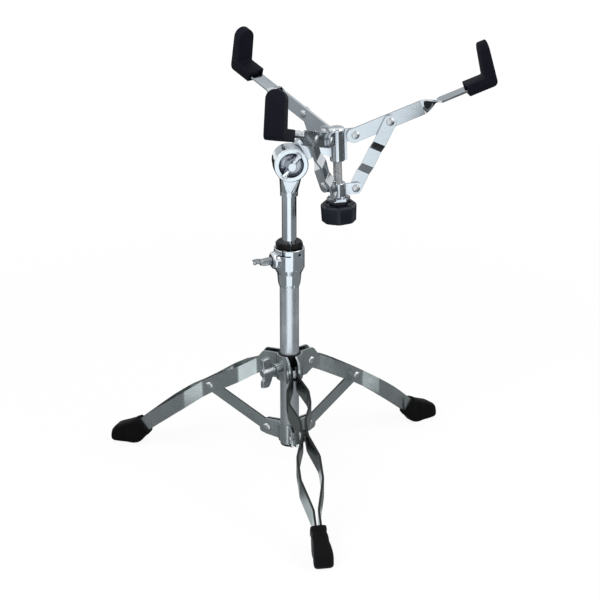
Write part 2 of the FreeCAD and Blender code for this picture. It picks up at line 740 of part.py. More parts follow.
def leg_strip():
    strip = leg_band().common(strip_plan())
    for x, z in ((PIVOT_R, UPPER_PIVOT_Z), (STRUT_RIVET_R, RIVET_Z)):
        strip = strip.cut(cross_bar(RIVET_R + PIN_FIT, x, z, 0, FAR))
    return strip


def foot_boot(strip):
    angle = leg_angle(FOOT_ENTRY_R, FOOT_ENTRY_Z)
    top = leg_point(angle, BOOT_H / 2)
    under = leg_point(angle, -BOOT_H / 2)
    nose_x = FOOT_ENTRY_R + BOOT_REACH
    body = side_plate([
        (under[0], under[1], BOOT_EDGE_R),
        (under[0] + BOOT_HEEL_SET, 0, BOOT_HEEL_R),
        (nose_x, 0, BOOT_SOLE_R),
        (nose_x - BOOT_NOSE_RAKE, BOOT_NOSE_H, BOOT_NOSE_R),
        (top[0], top[1], BOOT_EDGE_R),
    ], -BOOT_W_NOSE, BOOT_W_NOSE)
    side = boot_side(under[0] - EDGE_R, nose_x - BOOT_REACH / 3)
    side.append((nose_x, BOOT_W_TOE / 2, BOOT_SIDE_R))
    other = [(x, -y, radius) for x, y, radius in reversed(side)]
    boot = fused(body.common(plan_plate(side + other, 0, FAR)), boot_lip(angle))
    return boot.cut(strip).cut(mirrored(strip))


def boot_side(mouth_x, broad_x):
    """One side of a boot in plan, from its mouth to its broadest place, with upright grooves."""
    steps = 2 * BOOT_RIDGES
    side = []
    for i in range(steps + 1):
        share = i / steps
        half = (BOOT_W_ENTRY + (BOOT_W_NOSE - BOOT_W_ENTRY) * share) / 2
        groove = BOOT_GROOVE_D if i % 2 else 0
        radius = BOOT_GROOVE_R if 0 < i < steps else 0
        side.append((mouth_x + (broad_x - mouth_x) * share, half - groove, radius))
    return side


def boot_lip(angle):
    """Raised lip round the mouth of a boot."""
    half = BOOT_H / 2 + BOOT_LIP_T
    inner = angle - BOOT_LIP_L / LEG_ARC[2]
    ends = [leg_point(angle, -half), leg_point(inner, -half), leg_point(inner, half), leg_point(angle, half)]
    side = BOOT_W_ENTRY / 2 + BOOT_LIP_T
    return side_plate([(x, z, BOOT_LIP_T) for x, z in ends], -side, side)


def leg_rivets():
    """Strut rivet with its two heads, and the spacer sleeve at the hub end of the leg."""
    sleeve = cross_bar(RIVET_HEAD_R, PIVOT_R, UPPER_PIVOT_Z, -STRIP_IN, STRIP_IN)
    sleeve = sleeve.cut(cross_bar(RIVET_R + PIN_FIT, PIVOT_R, UPPER_PIVOT_Z, -FAR, FAR))
    return Part.Compound([rivet(STRUT_RIVET_R, RIVET_Z, -STRIP_OUT, STRIP_OUT), sleeve])


def strut():
    reach = STRUT_RIVET_R - PIVOT_R
    length = math.hypot(reach, STRUT_RISE)
    body = strap(length, STRUT_W, -STRUT_T / 2, STRUT_T / 2)
    for x in (0, length):
        body = body.cut(cross_bar(RIVET_R + PIN_FIT, x, 0, -FAR, FAR))
    body = rotated(body, -math.degrees(math.atan2(STRUT_RISE, reach)), ALONG_Y)
    return moved(body, PIVOT_R, 0, LOWER_PIVOT_Z)


def around_legs(shape):
    return Part.Compound([rotated(shape, leg_azimuth(i)) for i in range(len(LEG_NAMES))])


# Upper tube, guide bush and tilter

def upper_tube():
    return ring(UPPER_TUBE_R, UPPER_TUBE_R - UPPER_TUBE_WALL, UPPER_TUBE_FOOT_Z, UPPER_TUBE_TOP_Z)


def guide_bush():
    outer = LOWER_BORE_R - SLIDE_FIT
    inner = UPPER_TUBE_R + SLIDE_FIT
    lip = inner - 2 * UPPER_TUBE_WALL
    seat = UPPER_TUBE_FOOT_Z - SIDE_GAP
    foot = seat - 2 * UPPER_TUBE_WALL
    top = seat + GUIDE_BUSH_L
    return turned([
        (lip, foot, 0), (outer, foot, EDGE_R), (outer, top, EDGE_R), (inner, top, 0),
        (inner, seat, 0), (lip, seat, 0),
    ])


def disc_along_y(radius, y0, y1):
    return bar(radius, vec(0, y0, TILT_Z), ALONG_Y, y1 - y0)


def neck_section(half_w, half_d, corner_r, y, z):
    """Level section of the yoke's neck: a rectangle with round corners."""
    corners = [(-half_w, -half_d), (half_w, -half_d), (half_w, half_d), (-half_w, half_d)]
    return rounded_wire([(u, y + v, corner_r) for u, v in corners], lambda u, v: vec(u, v, z))


def yoke_bowl(front):
    """Round recess in the yoke's face, with a bowl-shaped foot."""
    floor = front + YOKE_RECESS_D
    bowl = disc_along_y(YOKE_RECESS_R, front, floor)
    foot = [edge for edge in bowl.Edges if edge.BoundBox.YMin > floor - EDGE_R]
    return bowl.makeFillet(YOKE_BOWL_R, foot)


def tilter_yoke():
    front = YOKE_FACE_Y - YOKE_RING_T
    middle = YOKE_FACE_Y - YOKE_RING_T / 2
    socket_z = TILT_Z - YOKE_SOCKET_DROP
    neck_z = TILT_Z - YOKE_RECESS_R
    round_r = YOKE_SOCKET_R - YOKE_FOOT_FLAT
    foot = neck_section(YOKE_SOCKET_R, YOKE_SOCKET_R, round_r, 0, socket_z)
    collar = neck_section(YOKE_SOCKET_R, YOKE_SOCKET_R, round_r, 0, socket_z + YOKE_SOCKET_R / 2)
    shoulder = neck_section(YOKE_NECK_HALF_W, YOKE_RING_T / 2, YOKE_NECK_R, middle, neck_z)
    neck = Part.makeLoft([foot, collar, shoulder], True, True)
    head = disc_along_y(YOKE_RING_R, front, YOKE_FACE_Y)
    rim = [edge for edge in head.Edges if edge.Curve.TypeId == "Part::GeomCircle"]
    head = head.makeFillet(YOKE_EDGE_R, rim)
    yoke = fused(head, neck.cut(disc_along_y(HEAD_DISC_R + YOKE_RELIEF, YOKE_FACE_Y, FAR)))
    yoke = yoke.cut(yoke_bowl(front))
    yoke = yoke.cut(disc_along_y(TILT_BOLT_R + PIN_FIT, front, YOKE_FACE_Y))
    return yoke.cut(bar(UPPER_TUBE_R + SEAT_FIT, vec(0, 0, socket_z), UP, UPPER_TUBE_TOP_Z - socket_z))


def friction_washer():
    washer = disc_along_y(WASHER_R, YOKE_FACE_Y, YOKE_FACE_Y + WASHER_T)
    return washer.cut(disc_along_y(TILT_BOLT_R + PIN_FIT, YOKE_FACE_Y, YOKE_FACE_Y + WASHER_T))


def tilter_wing_bolt():
    seat = -(YOKE_FACE_Y - YOKE_RING_T + YOKE_RECESS_D) + SIDE_GAP
    tip = -(HEAD_FACE_Y + HEAD_DISC_T + TILT_NUT_T)
    bolt = wing_bolt(
        tip, TILT_BOLT_R, seat, TILT_WING_HUB_R, TILT_WING_HUB_L,
        TILT_WING_SPAN, TILT_WING_ROOT_W, TILT_WING_TIP_W, TILT_WING_FLARE)
    bolt = rotated(rotated(bolt, TILT_WING_ROLL, ALONG_X), -90)
    return moved(bolt, 0, 0, TILT_Z)


def tilter_nut():
    nut = hexagon(TILT_NUT_AF, 0, TILT_NUT_T).cut(bar(TILT_BOLT_R + PIN_FIT, ORIGIN, UP, TILT_NUT_T))
    return moved(rotated(nut, -90, ALONG_X), 0, HEAD_FACE_Y + HEAD_DISC_T, TILT_Z)


# Basket head: pieces about the basket axis are drawn along Z at the arm pivots' level

def to_basket(shape):
    """From the basket's own frame to its place on the tilter."""
    placed = moved(shape, HUB_DX, HUB_Y, TILT_Z + HUB_DZ)
    return tilted(placed)


def tilted(shape):
    return rotated(shape, -BASKET_TILT, ALONG_Y, vec(0, 0, TILT_Z))


def around_basket(shape):
    return [rotated(shape, ARM_STEP * i) for i in range(len(ARM_NAMES))]


def basket_bracket():
    low = TILT_Z - BRACKET_FOOT_DROP
    high = TILT_Z + HUB_DZ + BASKET_CAP_H / 2 - SEAT_FIT
    root_r = HEAD_DISC_R - BRACKET_ROOT_INSET
    low_turn = math.radians(BRACKET_LOW_DEG)
    high_turn = math.radians(BRACKET_HIGH_DEG)
    arch_end = HUB_DX - BASKET_COLUMN_R
    web = side_plate([
        (root_r * math.cos(low_turn), TILT_Z + root_r * math.sin(low_turn), BRACKET_ROUND),
        (arch_end - BRACKET_ARCH_W, low, BRACKET_ROUND),
        (arch_end - BRACKET_ARCH_W / 2, low + BRACKET_ARCH_H, BRACKET_ARCH_R),
        (arch_end, low, 0),
        (HUB_DX, low, 0),
        (HUB_DX, high, 0),
        (BRACKET_CREST_X, high - BRACKET_CREST_DROP, BRACKET_ROUND),
        (root_r * math.cos(high_turn), TILT_Z + root_r * math.sin(high_turn), BRACKET_ROUND),
    ], HUB_Y - BRACKET_T / 2, HUB_Y + BRACKET_T / 2)
    slot_x = HUB_DX / 2
    slot_end = slot_x + BRACKET_SLOT_W
    slot_z = TILT_Z + HUB_DZ - BRACKET_SLOT_H / 2
    slot_top = slot_z + BRACKET_SLOT_H
    slot = side_plate([
        (slot_x, slot_z, BRACKET_SLOT_R), (slot_end, slot_z, BRACKET_SLOT_R),
        (slot_end, slot_top, BRACKET_SLOT_R), (slot_x, slot_top, BRACKET_SLOT_R),
    ], -FAR, FAR)
    disc = disc_along_y(HEAD_DISC_R, HEAD_FACE_Y, HEAD_FACE_Y + HEAD_DISC_T)
    rim = [edge for edge in disc.Edges if edge.Curve.TypeId == "Part::GeomCircle"]
    bracket = fused(disc.makeFillet(YOKE_EDGE_R, rim), web.cut(slot))
    bracket = bracket.cut(disc_along_y(TILT_BOLT_R + PIN_FIT, -FAR, FAR))
    column = bar(BASKET_COLUMN_R + SEAT_FIT, vec(HUB_DX, HUB_Y, 0), UP, FAR)
    bracket = bracket.cut(column)
    beyond = Part.makeBox(FAR, 2 * FAR, FAR, vec(HUB_DX, -FAR, 0))
    nut_corner_r = TILT_NUT_AF / math.sqrt(3)
    nut_room = disc_along_y(nut_corner_r + 2 * EDGE_R, HEAD_FACE_Y + HEAD_DISC_T, FAR)
    return bracket.cut(beyond).cut(nut_room)


def pivot_tab(height, root_r):
    """Radial tab with a round end about a pivot at (ARM_PIVOT_R, 0)."""
    half = height / 2
    tip = ARM_PIVOT_R + half
    end_r = half * ROUND_SHARE
    return side_plate([
        (root_r, -half, 0), (tip, -half, end_r), (tip, half, end_r), (root_r, half, 0),
    ], -TAB_T / 2, TAB_T / 2)


def pivot_hole(height):
    return cross_bar(RIVET_R + PIN_FIT, ARM_PIVOT_R, height, -TAB_T, TAB_T)


def basket_hub():
    drop = BASKET_COLUMN_DROP
    root = (BASKET_COLUMN_R + ROD_R) / 2
    cap_r = BASKET_COLUMN_R + BASKET_CAP_RIM
    column = turned([
        (0, -drop, 0), (BASKET_COLUMN_R, -drop, EDGE_R), (BASKET_COLUMN_R, BASKET_CAP_H / 2, 0),
        (cap_r, BASKET_CAP_H / 2, 0), (cap_r, BASKET_CAP_H, BASKET_CAP_H / 3), (0, BASKET_CAP_H, 0),
    ])
    rib = side_plate([
        (root, -drop, 0), (RIB_R, -drop, 2 * EDGE_R), (RIB_R, 0, 0), (root, 0, 0),
    ], -TAB_T / 2, TAB_T / 2)
    tab = fused(pivot_tab(ARM_W - 2 * TAB_INSET, root), rib).cut(pivot_hole(0))
    hub = fused(column, *around_basket(tab))
    return hub.cut(bar(ROD_R + SEAT_FIT, vec(0, 0, -drop), UP, ROD_SEAT))


def basket_rod():
    foot = KNOB_FOOT_H + ROD_INSET
    top = -BASKET_COLUMN_DROP + ROD_SEAT
    return turned([(0, foot, 0), (ROD_R, foot, EDGE_R), (ROD_R, top, 0), (0, top, 0)])


def arm_pivot_rivet():
    return rivet(ARM_PIVOT_R, 0, -ARM_OUT - SIDE_GAP / 2, TAB_T / 2)


def link_pivot_rivet():
    outer = LINK_FOOT_T + LINK_T / 2 + SIDE_GAP / 2
    return rivet(ARM_PIVOT_R, SLIDER_PIVOT_H, -TAB_T / 2, outer)


def to_arm(shape, index):
    """From the arm's own frame, along X from its pivot, to its place in the basket."""
    raised = rotated(shape, -ARM_RISE_DEG, ALONG_Y)
    return rotated(moved(raised, ARM_PIVOT_R, 0, 0), ARM_STEP * index)


def arm_section(s, turn):
    """Rectangle across the arm at s, turned about the arm's middle line."""
    c = math.cos(turn)
    n = math.sin(turn)
    half_t = ARM_T / 2
    half_w = ARM_W / 2
    corners = [(-half_t, -half_w), (half_t, -half_w), (half_t, half_w), (-half_t, half_w)]
    points = [vec(s, ARM_MIDDLE_T + t * c - w * n, t * n + w * c) for t, w in corners]
    return Part.makePolygon(points + points[:1])


def basket_arm():
    """Strip on edge at the hub, twisted flat towards its grip and bent up inside it."""
    round_end = ARM_W / 2 * ROUND_SHARE
    flat = side_plate([
        (-ARM_TAIL, -ARM_W / 2, round_end), (ARM_TWIST_START, -ARM_W / 2, 0),
        (ARM_TWIST_START, ARM_W / 2, 0), (-ARM_TAIL, ARM_W / 2, round_end),
    ], -ARM_OUT, -ARM_IN)
    shares = [i / ARM_TWIST_STEPS for i in range(ARM_TWIST_STEPS + 1)]
    twist_l = ARM_TWIST_END - ARM_TWIST_START
    sections = [arm_section(ARM_TWIST_START + twist_l * k, math.pi / 2 * k) for k in shares]
    twist = Part.makeLoft(sections, True, True)
    heel = GRIP_HEEL_S - GRIP_HEEL_T / 2
    lean = GRIP_LEAN / GRIP_TOP
    tip_n = GRIP_TOP - GRIP_ROUND
    half = ARM_T / 2
    tang = side_plate([
        (ARM_TWIST_END, -half, 0), (heel + half, -half, ARM_T), (heel + half + lean * tip_n, tip_n, 0),
        (heel - half + lean * tip_n, tip_n, 0), (heel - half, half, 0), (ARM_TWIST_END, half, 0),
    ], ARM_MIDDLE_T - ARM_W / 2, ARM_MIDDLE_T + ARM_W / 2)
    arm = fused(flat, twist, tang)
    for s in (0, ARM_RIVET_S):
        arm = arm.cut(cross_bar(RIVET_R + PIN_FIT, s, 0, -FAR, FAR))
    return arm


def basket_grip(arm):
    under = -GRIP_UNDER
    left = ARM_MIDDLE_T - GRIP_W / 2
    right = ARM_MIDDLE_T + GRIP_W / 2
    tip_s = GRIP_HEEL_S + GRIP_LEAN
    body = side_plate([
        (GRIP_START, under, GRIP_EDGE_R),
        (GRIP_HEEL_S, under, GRIP_HEEL_R),
        (tip_s, GRIP_TOP, GRIP_TIP_R),
        (tip_s - GRIP_TIP_T, GRIP_TOP, GRIP_EDGE_R),
        (GRIP_HEEL_S - GRIP_HEEL_T, GRIP_OVER, GRIP_EDGE_R),
        (GRIP_START, GRIP_OVER, GRIP_EDGE_R),
    ], left, right)
    front = rounded_wire([
        (left, under, GRIP_EDGE_R), (right, under, GRIP_EDGE_R),
        (right, GRIP_TOP, GRIP_ROUND), (left, GRIP_TOP, GRIP_ROUND),
    ], lambda u, v: vec(0, u, v))
    return body.common(Part.Face(front).extrude(vec(FAR, 0, 0))).cut(arm)


def link_rivet():
    outer = LINK_TOP_T - LINK_T / 2 - SIDE_GAP
    return rivet(ARM_RIVET_S, 0, outer, -ARM_IN)


def basket_link():
    """Strap along X from the arm rivet to the slide collar, stepped twice from one side of its
    tab to the other."""
    middle_t = (LINK_TOP_T + LINK_FOOT_T) / 2
    half = LINK_T / 2
    line = [
        (-LINK_W, LINK_TOP_T),
        (LINK_FIRST_STEP, LINK_TOP_T),
        (LINK_FIRST_STEP + LINK_STEP_L, middle_t),
        (LINK_SECOND_STEP, middle_t),
        (LINK_SECOND_STEP + LINK_STEP_L, LINK_FOOT_T),
        (LINK_L + LINK_W, LINK_FOOT_T),
    ]
    body = strap(LINK_L, LINK_W, LINK_TOP_T - half, LINK_FOOT_T + half)
    body = body.common(bent_plate(line, -half, half, LINK_BEND_R, -LINK_W, LINK_W))
    body = body.cut(cross_bar(RIVET_R + PIN_FIT, 0, 0, -FAR, FAR))
    body = body.cut(cross_bar(RIVET_R + OPEN_PIVOT_FIT, LINK_L, 0, -FAR, FAR))
    rivet_x = ARM_PIVOT_R + ARM_RIVET_S * math.cos(ARM_RISE)
    rivet_h = ARM_RIVET_S * math.sin(ARM_RISE)
    heading = math.degrees(math.atan2(SLIDER_PIVOT_H - rivet_h, ARM_PIVOT_R - rivet_x))
    return moved(rotated(body, -heading, ALONG_Y), rivet_x, 0, rivet_h)


def slide_collar():
    top = SLIDER_PIVOT_H + SLIDER_RISE
    foot = SLIDER_FOOT_H
    bore = ROD_R + SLIDE_FIT
    body = turned([(bore, foot, 0), (SLIDER_R, foot, 0), (SLIDER_R, top, EDGE_R), (bore, top, 0)])
    flange = hexagon(SLIDER_FLANGE_AF, foot, foot + SLIDER_FLANGE_T)
    body = fused(body, flange.cut(bar(bore, vec(0, 0, foot), UP, SLIDER_FLANGE_T)))
    tab = pivot_tab(LINK_W - 2 * TAB_INSET, (SLIDER_R + bore) / 2)
    tab = moved(tab, 0, 0, SLIDER_PIVOT_H).cut(pivot_hole(SLIDER_PIVOT_H))
    return fused(body, *around_basket(tab))


def basket_knob():
    foot = KNOB_FOOT_H
    shoulder = KNOB_TOP_H - KNOB_NECK_H
    bore = INSERT_R + SEAT_FIT
    body = turned([
        (bore, foot, 0),
        (KNOB_R - KNOB_DRAFT, foot, EDGE_R),
        (KNOB_R, shoulder, KNOB_EDGE_R),
        (KNOB_R - KNOB_RIM_W, shoulder, EDGE_R),
        (KNOB_NECK_R, shoulder - KNOB_DISH, 0),
        (KNOB_NECK_R, KNOB_TOP_H, EDGE_R),
        (bore, KNOB_TOP_H, 0),
    ])
    sides = prism(KNOB_SIDES, KNOB_R, foot, KNOB_TOP_H, KNOB_CORNER_R)
    return body.common(rotated(sides, KNOB_TURN))


def knob_insert():
    return ring(INSERT_R, ROD_R + SLIDE_FIT, KNOB_FOOT_H, KNOB_TOP_H)


def build():
    os.makedirs("parts", exist_ok=True)
    save("lower_tube", lower_tube())
    save("tube_end_plug", tube_end_plug())
    save("hub_fixing_screw", hub_fixing_screw())
    save("height_collar", height_collar())
    save("height_bushing", height_bushing())
    save("height_wing_bolt", height_wing_bolt())

    gaps = ("front_right", "rear", "front_left")
    low_plate = lower_hub_plate()
    high_plate = leg_hub_plate()
    for i, gap in enumerate(gaps):
        save("lower_hub_plate_" + gap, rotated(low_plate, leg_azimuth(i)).cut(hub_screw_hole()))
        save("leg_hub_plate_" + gap, rotated(high_plate, leg_azimuth(i)).cut(leg_clamp_hole()))
    low_reach = STRIP_IN + PLATE_T
    high_reach = leg_hub_ear_t() + PLATE_T
    save("lower_pivot_rivets", around_legs(rivet(PIVOT_R, LOWER_PIVOT_Z, -low_reach, low_reach)))
    save("leg_pivot_rivets", around_legs(rivet(PIVOT_R, UPPER_PIVOT_Z, -high_reach, high_reach)))
    save("leg_hub_liner", leg_hub_liner())
    save("leg_clamp_nut", leg_clamp_nut())
    save("leg_wing_bolt", leg_wing_bolt())

    strip = leg_strip()
    boot = foot_boot(strip)
    for i, name in enumerate(LEG_NAMES):
        azimuth = leg_azimuth(i)
        save("leg_%s_strip_a" % name, rotated(strip, azimuth))
        save("leg_%s_strip_b" % name, rotated(mirrored(strip), azimuth))
        save("leg_%s_rivets" % name, rotated(leg_rivets(), azimuth))
        save("foot_%s" % name, rotated(boot, azimuth))
        save("strut_%s" % name, rotated(strut(), azimuth))

    save("guide_bush", guide_bush())
    save("upper_tube", upper_tube())
    save("tilter_yoke", tilter_yoke())
    save("friction_washer", friction_washer())
    save("tilter_wing_bolt", tilter_wing_bolt())
    save("tilter_nut", tilted(tilter_nut()))
    save("basket_bracket", tilted(basket_bracket()))
    save("basket_hub", to_basket(basket_hub()))
    save("basket_rod", to_basket(basket_rod()))
    save("arm_pivot_rivets", to_basket(Part.Compound(around_basket(arm_pivot_rivet()))))
    save("slide_collar", to_basket(slide_collar()))
    save("link_pivot_rivets", to_basket(Part.Compound(around_basket(link_pivot_rivet()))))
    save("basket_knob", to_basket(basket_knob()))
    save("knob_insert", to_basket(knob_insert()))

    arm = basket_arm()
    grip = basket_grip(arm)
    for i, name in enumerate(ARM_NAMES):
        save("arm_%s" % name, to_basket(to_arm(arm, i)))
        save("grip_%s" % name, to_basket(to_arm(grip, i)))
        save("arm_%s_rivet" % name, to_basket(to_arm(link_rivet(), i)))
        save("link_%s" % name, to_basket(rotated(basket_link(), ARM_STEP * i)))


build()
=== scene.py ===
"""Snare drum stand: finishes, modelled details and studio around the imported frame."""
import json
import math

import bmesh
import bpy
from mathutils import Matrix, Vector


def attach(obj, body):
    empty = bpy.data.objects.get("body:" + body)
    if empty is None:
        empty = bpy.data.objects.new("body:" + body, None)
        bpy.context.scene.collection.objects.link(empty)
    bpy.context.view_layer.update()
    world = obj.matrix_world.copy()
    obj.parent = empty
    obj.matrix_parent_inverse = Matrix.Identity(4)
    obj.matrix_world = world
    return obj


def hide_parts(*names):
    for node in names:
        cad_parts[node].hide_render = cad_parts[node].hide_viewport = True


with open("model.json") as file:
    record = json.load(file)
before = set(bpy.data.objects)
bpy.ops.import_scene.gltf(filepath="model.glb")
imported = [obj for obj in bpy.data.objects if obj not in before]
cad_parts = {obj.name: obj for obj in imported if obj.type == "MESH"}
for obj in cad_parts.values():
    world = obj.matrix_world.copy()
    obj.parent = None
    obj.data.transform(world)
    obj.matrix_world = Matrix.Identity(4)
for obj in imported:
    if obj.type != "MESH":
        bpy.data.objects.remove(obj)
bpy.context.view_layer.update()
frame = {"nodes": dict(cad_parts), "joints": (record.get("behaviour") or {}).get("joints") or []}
JOINTS = {joint["name"]: joint for joint in frame["joints"]}

bl_info = {
    "name": "Snare Drum Stand",
    "version": (1, 0, 0),
    "blender": (4, 5, 0),
    "location": "View3D > Sidebar > Stand",
    "description": "Finishes and details of a folding snare drum stand",
    "category": "Object",
}

LEG_TURN = {"front": -90.0, "right": 30.0, "left": 150.0}
ARM_TURN = {"right": 0.0, "rear": 120.0, "front": 240.0}
TINY = 0.00005

# Basket arms and grips, along an arm from its pivot
ARM_PIVOT = 0.0235
ARM_RISE = math.radians(18.4)
ARM_RIVET = 0.0473
ARM_IN = 0.0018
ARM_OUT = 0.0048
GRIP_START = 0.153
GRIP_HEEL = 0.1925
GRIP_MIDDLE = -(ARM_IN + ARM_OUT) / 2
GRIP_UNDER = 0.007
GRIP_OVER = 0.008
GRIP_LEAN = 0.004
GRIP_WALL = 0.0022
GRIP_MOUTH = 0.004
GRIP_HEEL_ROUND = 0.006
GRIP_SOFT = 0.0015

# Feet, along a leg from the tube's axis
FOOT_MOUTH = 0.218
FOOT_MOUTH_Z = 0.030
FOOT_SLOPE = math.radians(41.8)
FOOT_HALF_H = 0.0125
FOOT_HEEL_SET = 0.017
FOOT_TOE = 0.269
FOOT_TOE_H = 0.0215
FOOT_RAKE = 0.003
FOOT_GROOVES = (0.5, 0.83)
FOOT_RIDGE = 0.005
FOOT_GROOVE_D = 0.0014
FOOT_ROUND = 0.0075
FOOT_LIP = 0.006
FOOT_LIP_T = 0.001
FOOT_SOFT = 0.0006
FOOT_SHARP = 28.0

# Knob, rod and slide collar, along the basket's axis from the arm pivots
KNOB_TOP = -0.0858
KNOB_TURN = -99.0
KNOB_NECK = 0.012
KNOB_NECK_H = 0.004
KNOB_BORE = 0.00803
KNOB_DRAFT = 0.957
KNOB_CORNER = 0.0030
KNOB_RIM = 0.006
KNOB_DISH = 0.003
KNOB_FLOOR = 0.0055
KNOB_SHOULDER = 0.0042
KNOB_SOFT = 0.0008
ROD_R = 0.0058
ROD_TOP = -0.017
ROD_FOOT = -0.1098
THREAD_DEPTH = 0.6
COLLAR_PIVOT = -0.0723

# Rivets, screw and nut
RIVET_R = 0.003
RIVET_DOME = ((0.0006, 1.0), (0.0006, 0.88), (0.0004, 0.72), (0.0002, 0.5))
TAB_HALF = 0.0015
LINK_T = 0.003
PLAY = 0.00015
SLEEVE_R = 0.0052
SLEEVE_BORE = 0.0032
STRUT_RIVET = (0.116, 0.108)
LEG_PIVOT = (0.032, 0.156)
LEG_PIVOT_HALF = 0.0076
STRUT_PIVOT = (0.032, 0.060)
STRUT_PIVOT_HALF = 0.0043
SCREW_HEAD_R = 0.0046
SCREW_HEAD_T = 0.0026
SCREW_SEAT = 0.01523
SCREW_SLOT = 0.25
SCREW_SLOT_TAPER = 0.6
NUT_ACROSS = 0.013
NUT_T = 0.0065
NUT_BORE = 0.0042
NUT_SEAT = 0.0137
NUT_ROLL = 2.0
NUT_SOFT = 0.0007

# Wing bolts: where the head starts, the shank's radius and where the shank ends; then the head's hub radius,
# hub length, span over the wings, breadth at the root and at the tip, and flare
LEG_BOLT = (0.0270, 0.0039, 0.01523)
LEG_WINGS = (0.0062, 0.0200, 0.044, 0.022, 0.013, 0.004)
HEIGHT_BOLT = (0.0258, 0.0039, 0.01123)
HEIGHT_WINGS = (0.0055, 0.0155, 0.037, 0.016, 0.010, 0.007)
HEIGHT_TIP = (0.0150, 0.0225)
TILTER_BOLT = (0.0123, 0.0040, -0.0210)
TILTER_WINGS = (0.0072, 0.0160, 0.038, 0.017, 0.009, 0.004)
HEIGHT_WING_ROLL = math.radians(9.0)
TILTER_WING_ROLL = math.radians(55.0)
WING_SWELL = 1.12
WING_TAPER = 0.75
WING_ROOT = 0.42
# Share of the wing's reach, of its taper and of its thickness at each step
WING_STEPS = ((0.3, 0.55, 1.0), (0.75, 0.1, 1.0), (1.03, 0.0, 0.9))
BALL_R = 0.0026
BALL_CAP = 0.9
BALL_FOOT = 1.6

# Grain of the finishes, as noise scales along X, Y and Z; heights between which the lower tube turns dull
DRAWN_GRAIN = (260.0, 260.0, 6.0)
CAST_GRAIN = (170.0, 170.0, 170.0)
WING_GRAIN = (190.0, 190.0, 190.0)
ARM_GRAIN = (20.0, 420.0, 420.0)
LEG_GRAIN = (14.0, 260.0, 260.0)
PLATE_GRAIN = (90.0, 90.0, 700.0)
TURNED_GRAIN = (60.0, 60.0, 1500.0)
FIBRE_GRAIN = (700.0, 700.0, 220.0)
DULL_HEIGHTS = (0.13, 0.16)

# Studio: floor panels between two bearings, level discs, and cards at a bearing and a rise, all in degrees
PANELS = (("left", 133.0, 233.0, "felt_grey"), ("front", -127.0, -71.0, "paper_white"),
          ("right", -71.0, 40.0, "felt_slate"), ("rear", 40.0, 133.0, "felt_black"))
PANEL_Z = 0.0004
DISCS = (("flag_link", (0.112, -0.078, 0.33), 0.026, "felt_black"),
         ("flag_step", (0.0916, -0.039, 0.33), 0.018, "felt_slate"),
         ("flag_arm", (0.200, -0.020, 0.45), 0.05, "felt_black"),
         ("patch_left_leg", (-0.161, -0.150, 0.002), 0.04, "paper_white"),
         ("patch_right_leg", (0.207, -0.128, 0.002), 0.035, "paper_white"),
         ("patch_right_dark", (0.26, -0.228, 0.002), 0.035, "felt_black"))
CARDS = (("front", -99.0, 42.0, (2.6, 1.5), "felt_grey"), ("rear", 81.0, 24.0, (3.4, 1.6), "felt_pale"))
CARD_DISTANCE = 2.2
CARD_MIDDLE = Vector((0, 0, 0.35))
LAMP_AIM = Vector((0.03, 0.0, 0.3))
KEY_PLACE = (-1.3, -1.5, 2.3)
KEY_SIZE = 1.6
FILL_PLACE = (1.7, -0.9, 1.5)
FILL_SIZE = 1.4
SENSOR = 36.0


def colour_prop(name, description, default):
    """Colour property."""
    return bpy.props.FloatVectorProperty(
        name=name, description=description, subtype="COLOR", size=3, min=0, max=1, default=default)


def share_prop(name, description, default):
    """Property from 0 to 1."""
    return bpy.props.FloatProperty(
        name=name, description=description, subtype="FACTOR", min=0, max=1, default=default)


def length_prop(name, description, default):
    """Length property in metres."""
    return bpy.props.FloatProperty(
        name=name, description=description, unit="LENGTH", subtype="DISTANCE", min=0.0001, precision=4,
        default=default)


def power_prop(name, description, default):
    """Power property in watts."""
    return bpy.props.FloatProperty(
        name=name, description=description, subtype="POWER", min=0, default=default)


class StandFinishes(bpy.types.PropertyGroup):
    """Colours and gloss of the stand's finishes."""

    chrome: colour_prop("Chrome", "Tint of the bright chrome plate", (0.74, 0.79, 0.83))
    steel: colour_prop("Leg steel", "Tint of the plated leg strips and struts", (0.515, 0.555, 0.55))
    fastener: colour_prop("Fasteners", "Tint of rivets, screws and the threaded rod", (0.62, 0.64, 0.66))
    rubber: colour_prop("Grip rubber", "Colour of the grips", (0.003, 0.0036, 0.0085))
    black: colour_prop("Black", "Colour of the feet, the bushings and the plug", (0.0028, 0.0028, 0.0033))
    plastic: colour_prop("Knob plastic", "Colour of the knob", (0.005, 0.008, 0.016))
    brass: colour_prop("Brass", "Tint of the insert in the knob", (0.70, 0.52, 0.24))
    # Painted shade: colour painted into the plate's hollows and corners, where shade falls
    painted_shade: colour_prop("Painted shade", "Colour that the plate takes in its hollows", (0.16, 0.155, 0.20))
    chrome_roughness: share_prop("Chrome roughness", "Mean roughness of the chrome plate", 0.11)
    steel_roughness: share_prop("Steel roughness", "Mean roughness of the leg strips", 0.24)


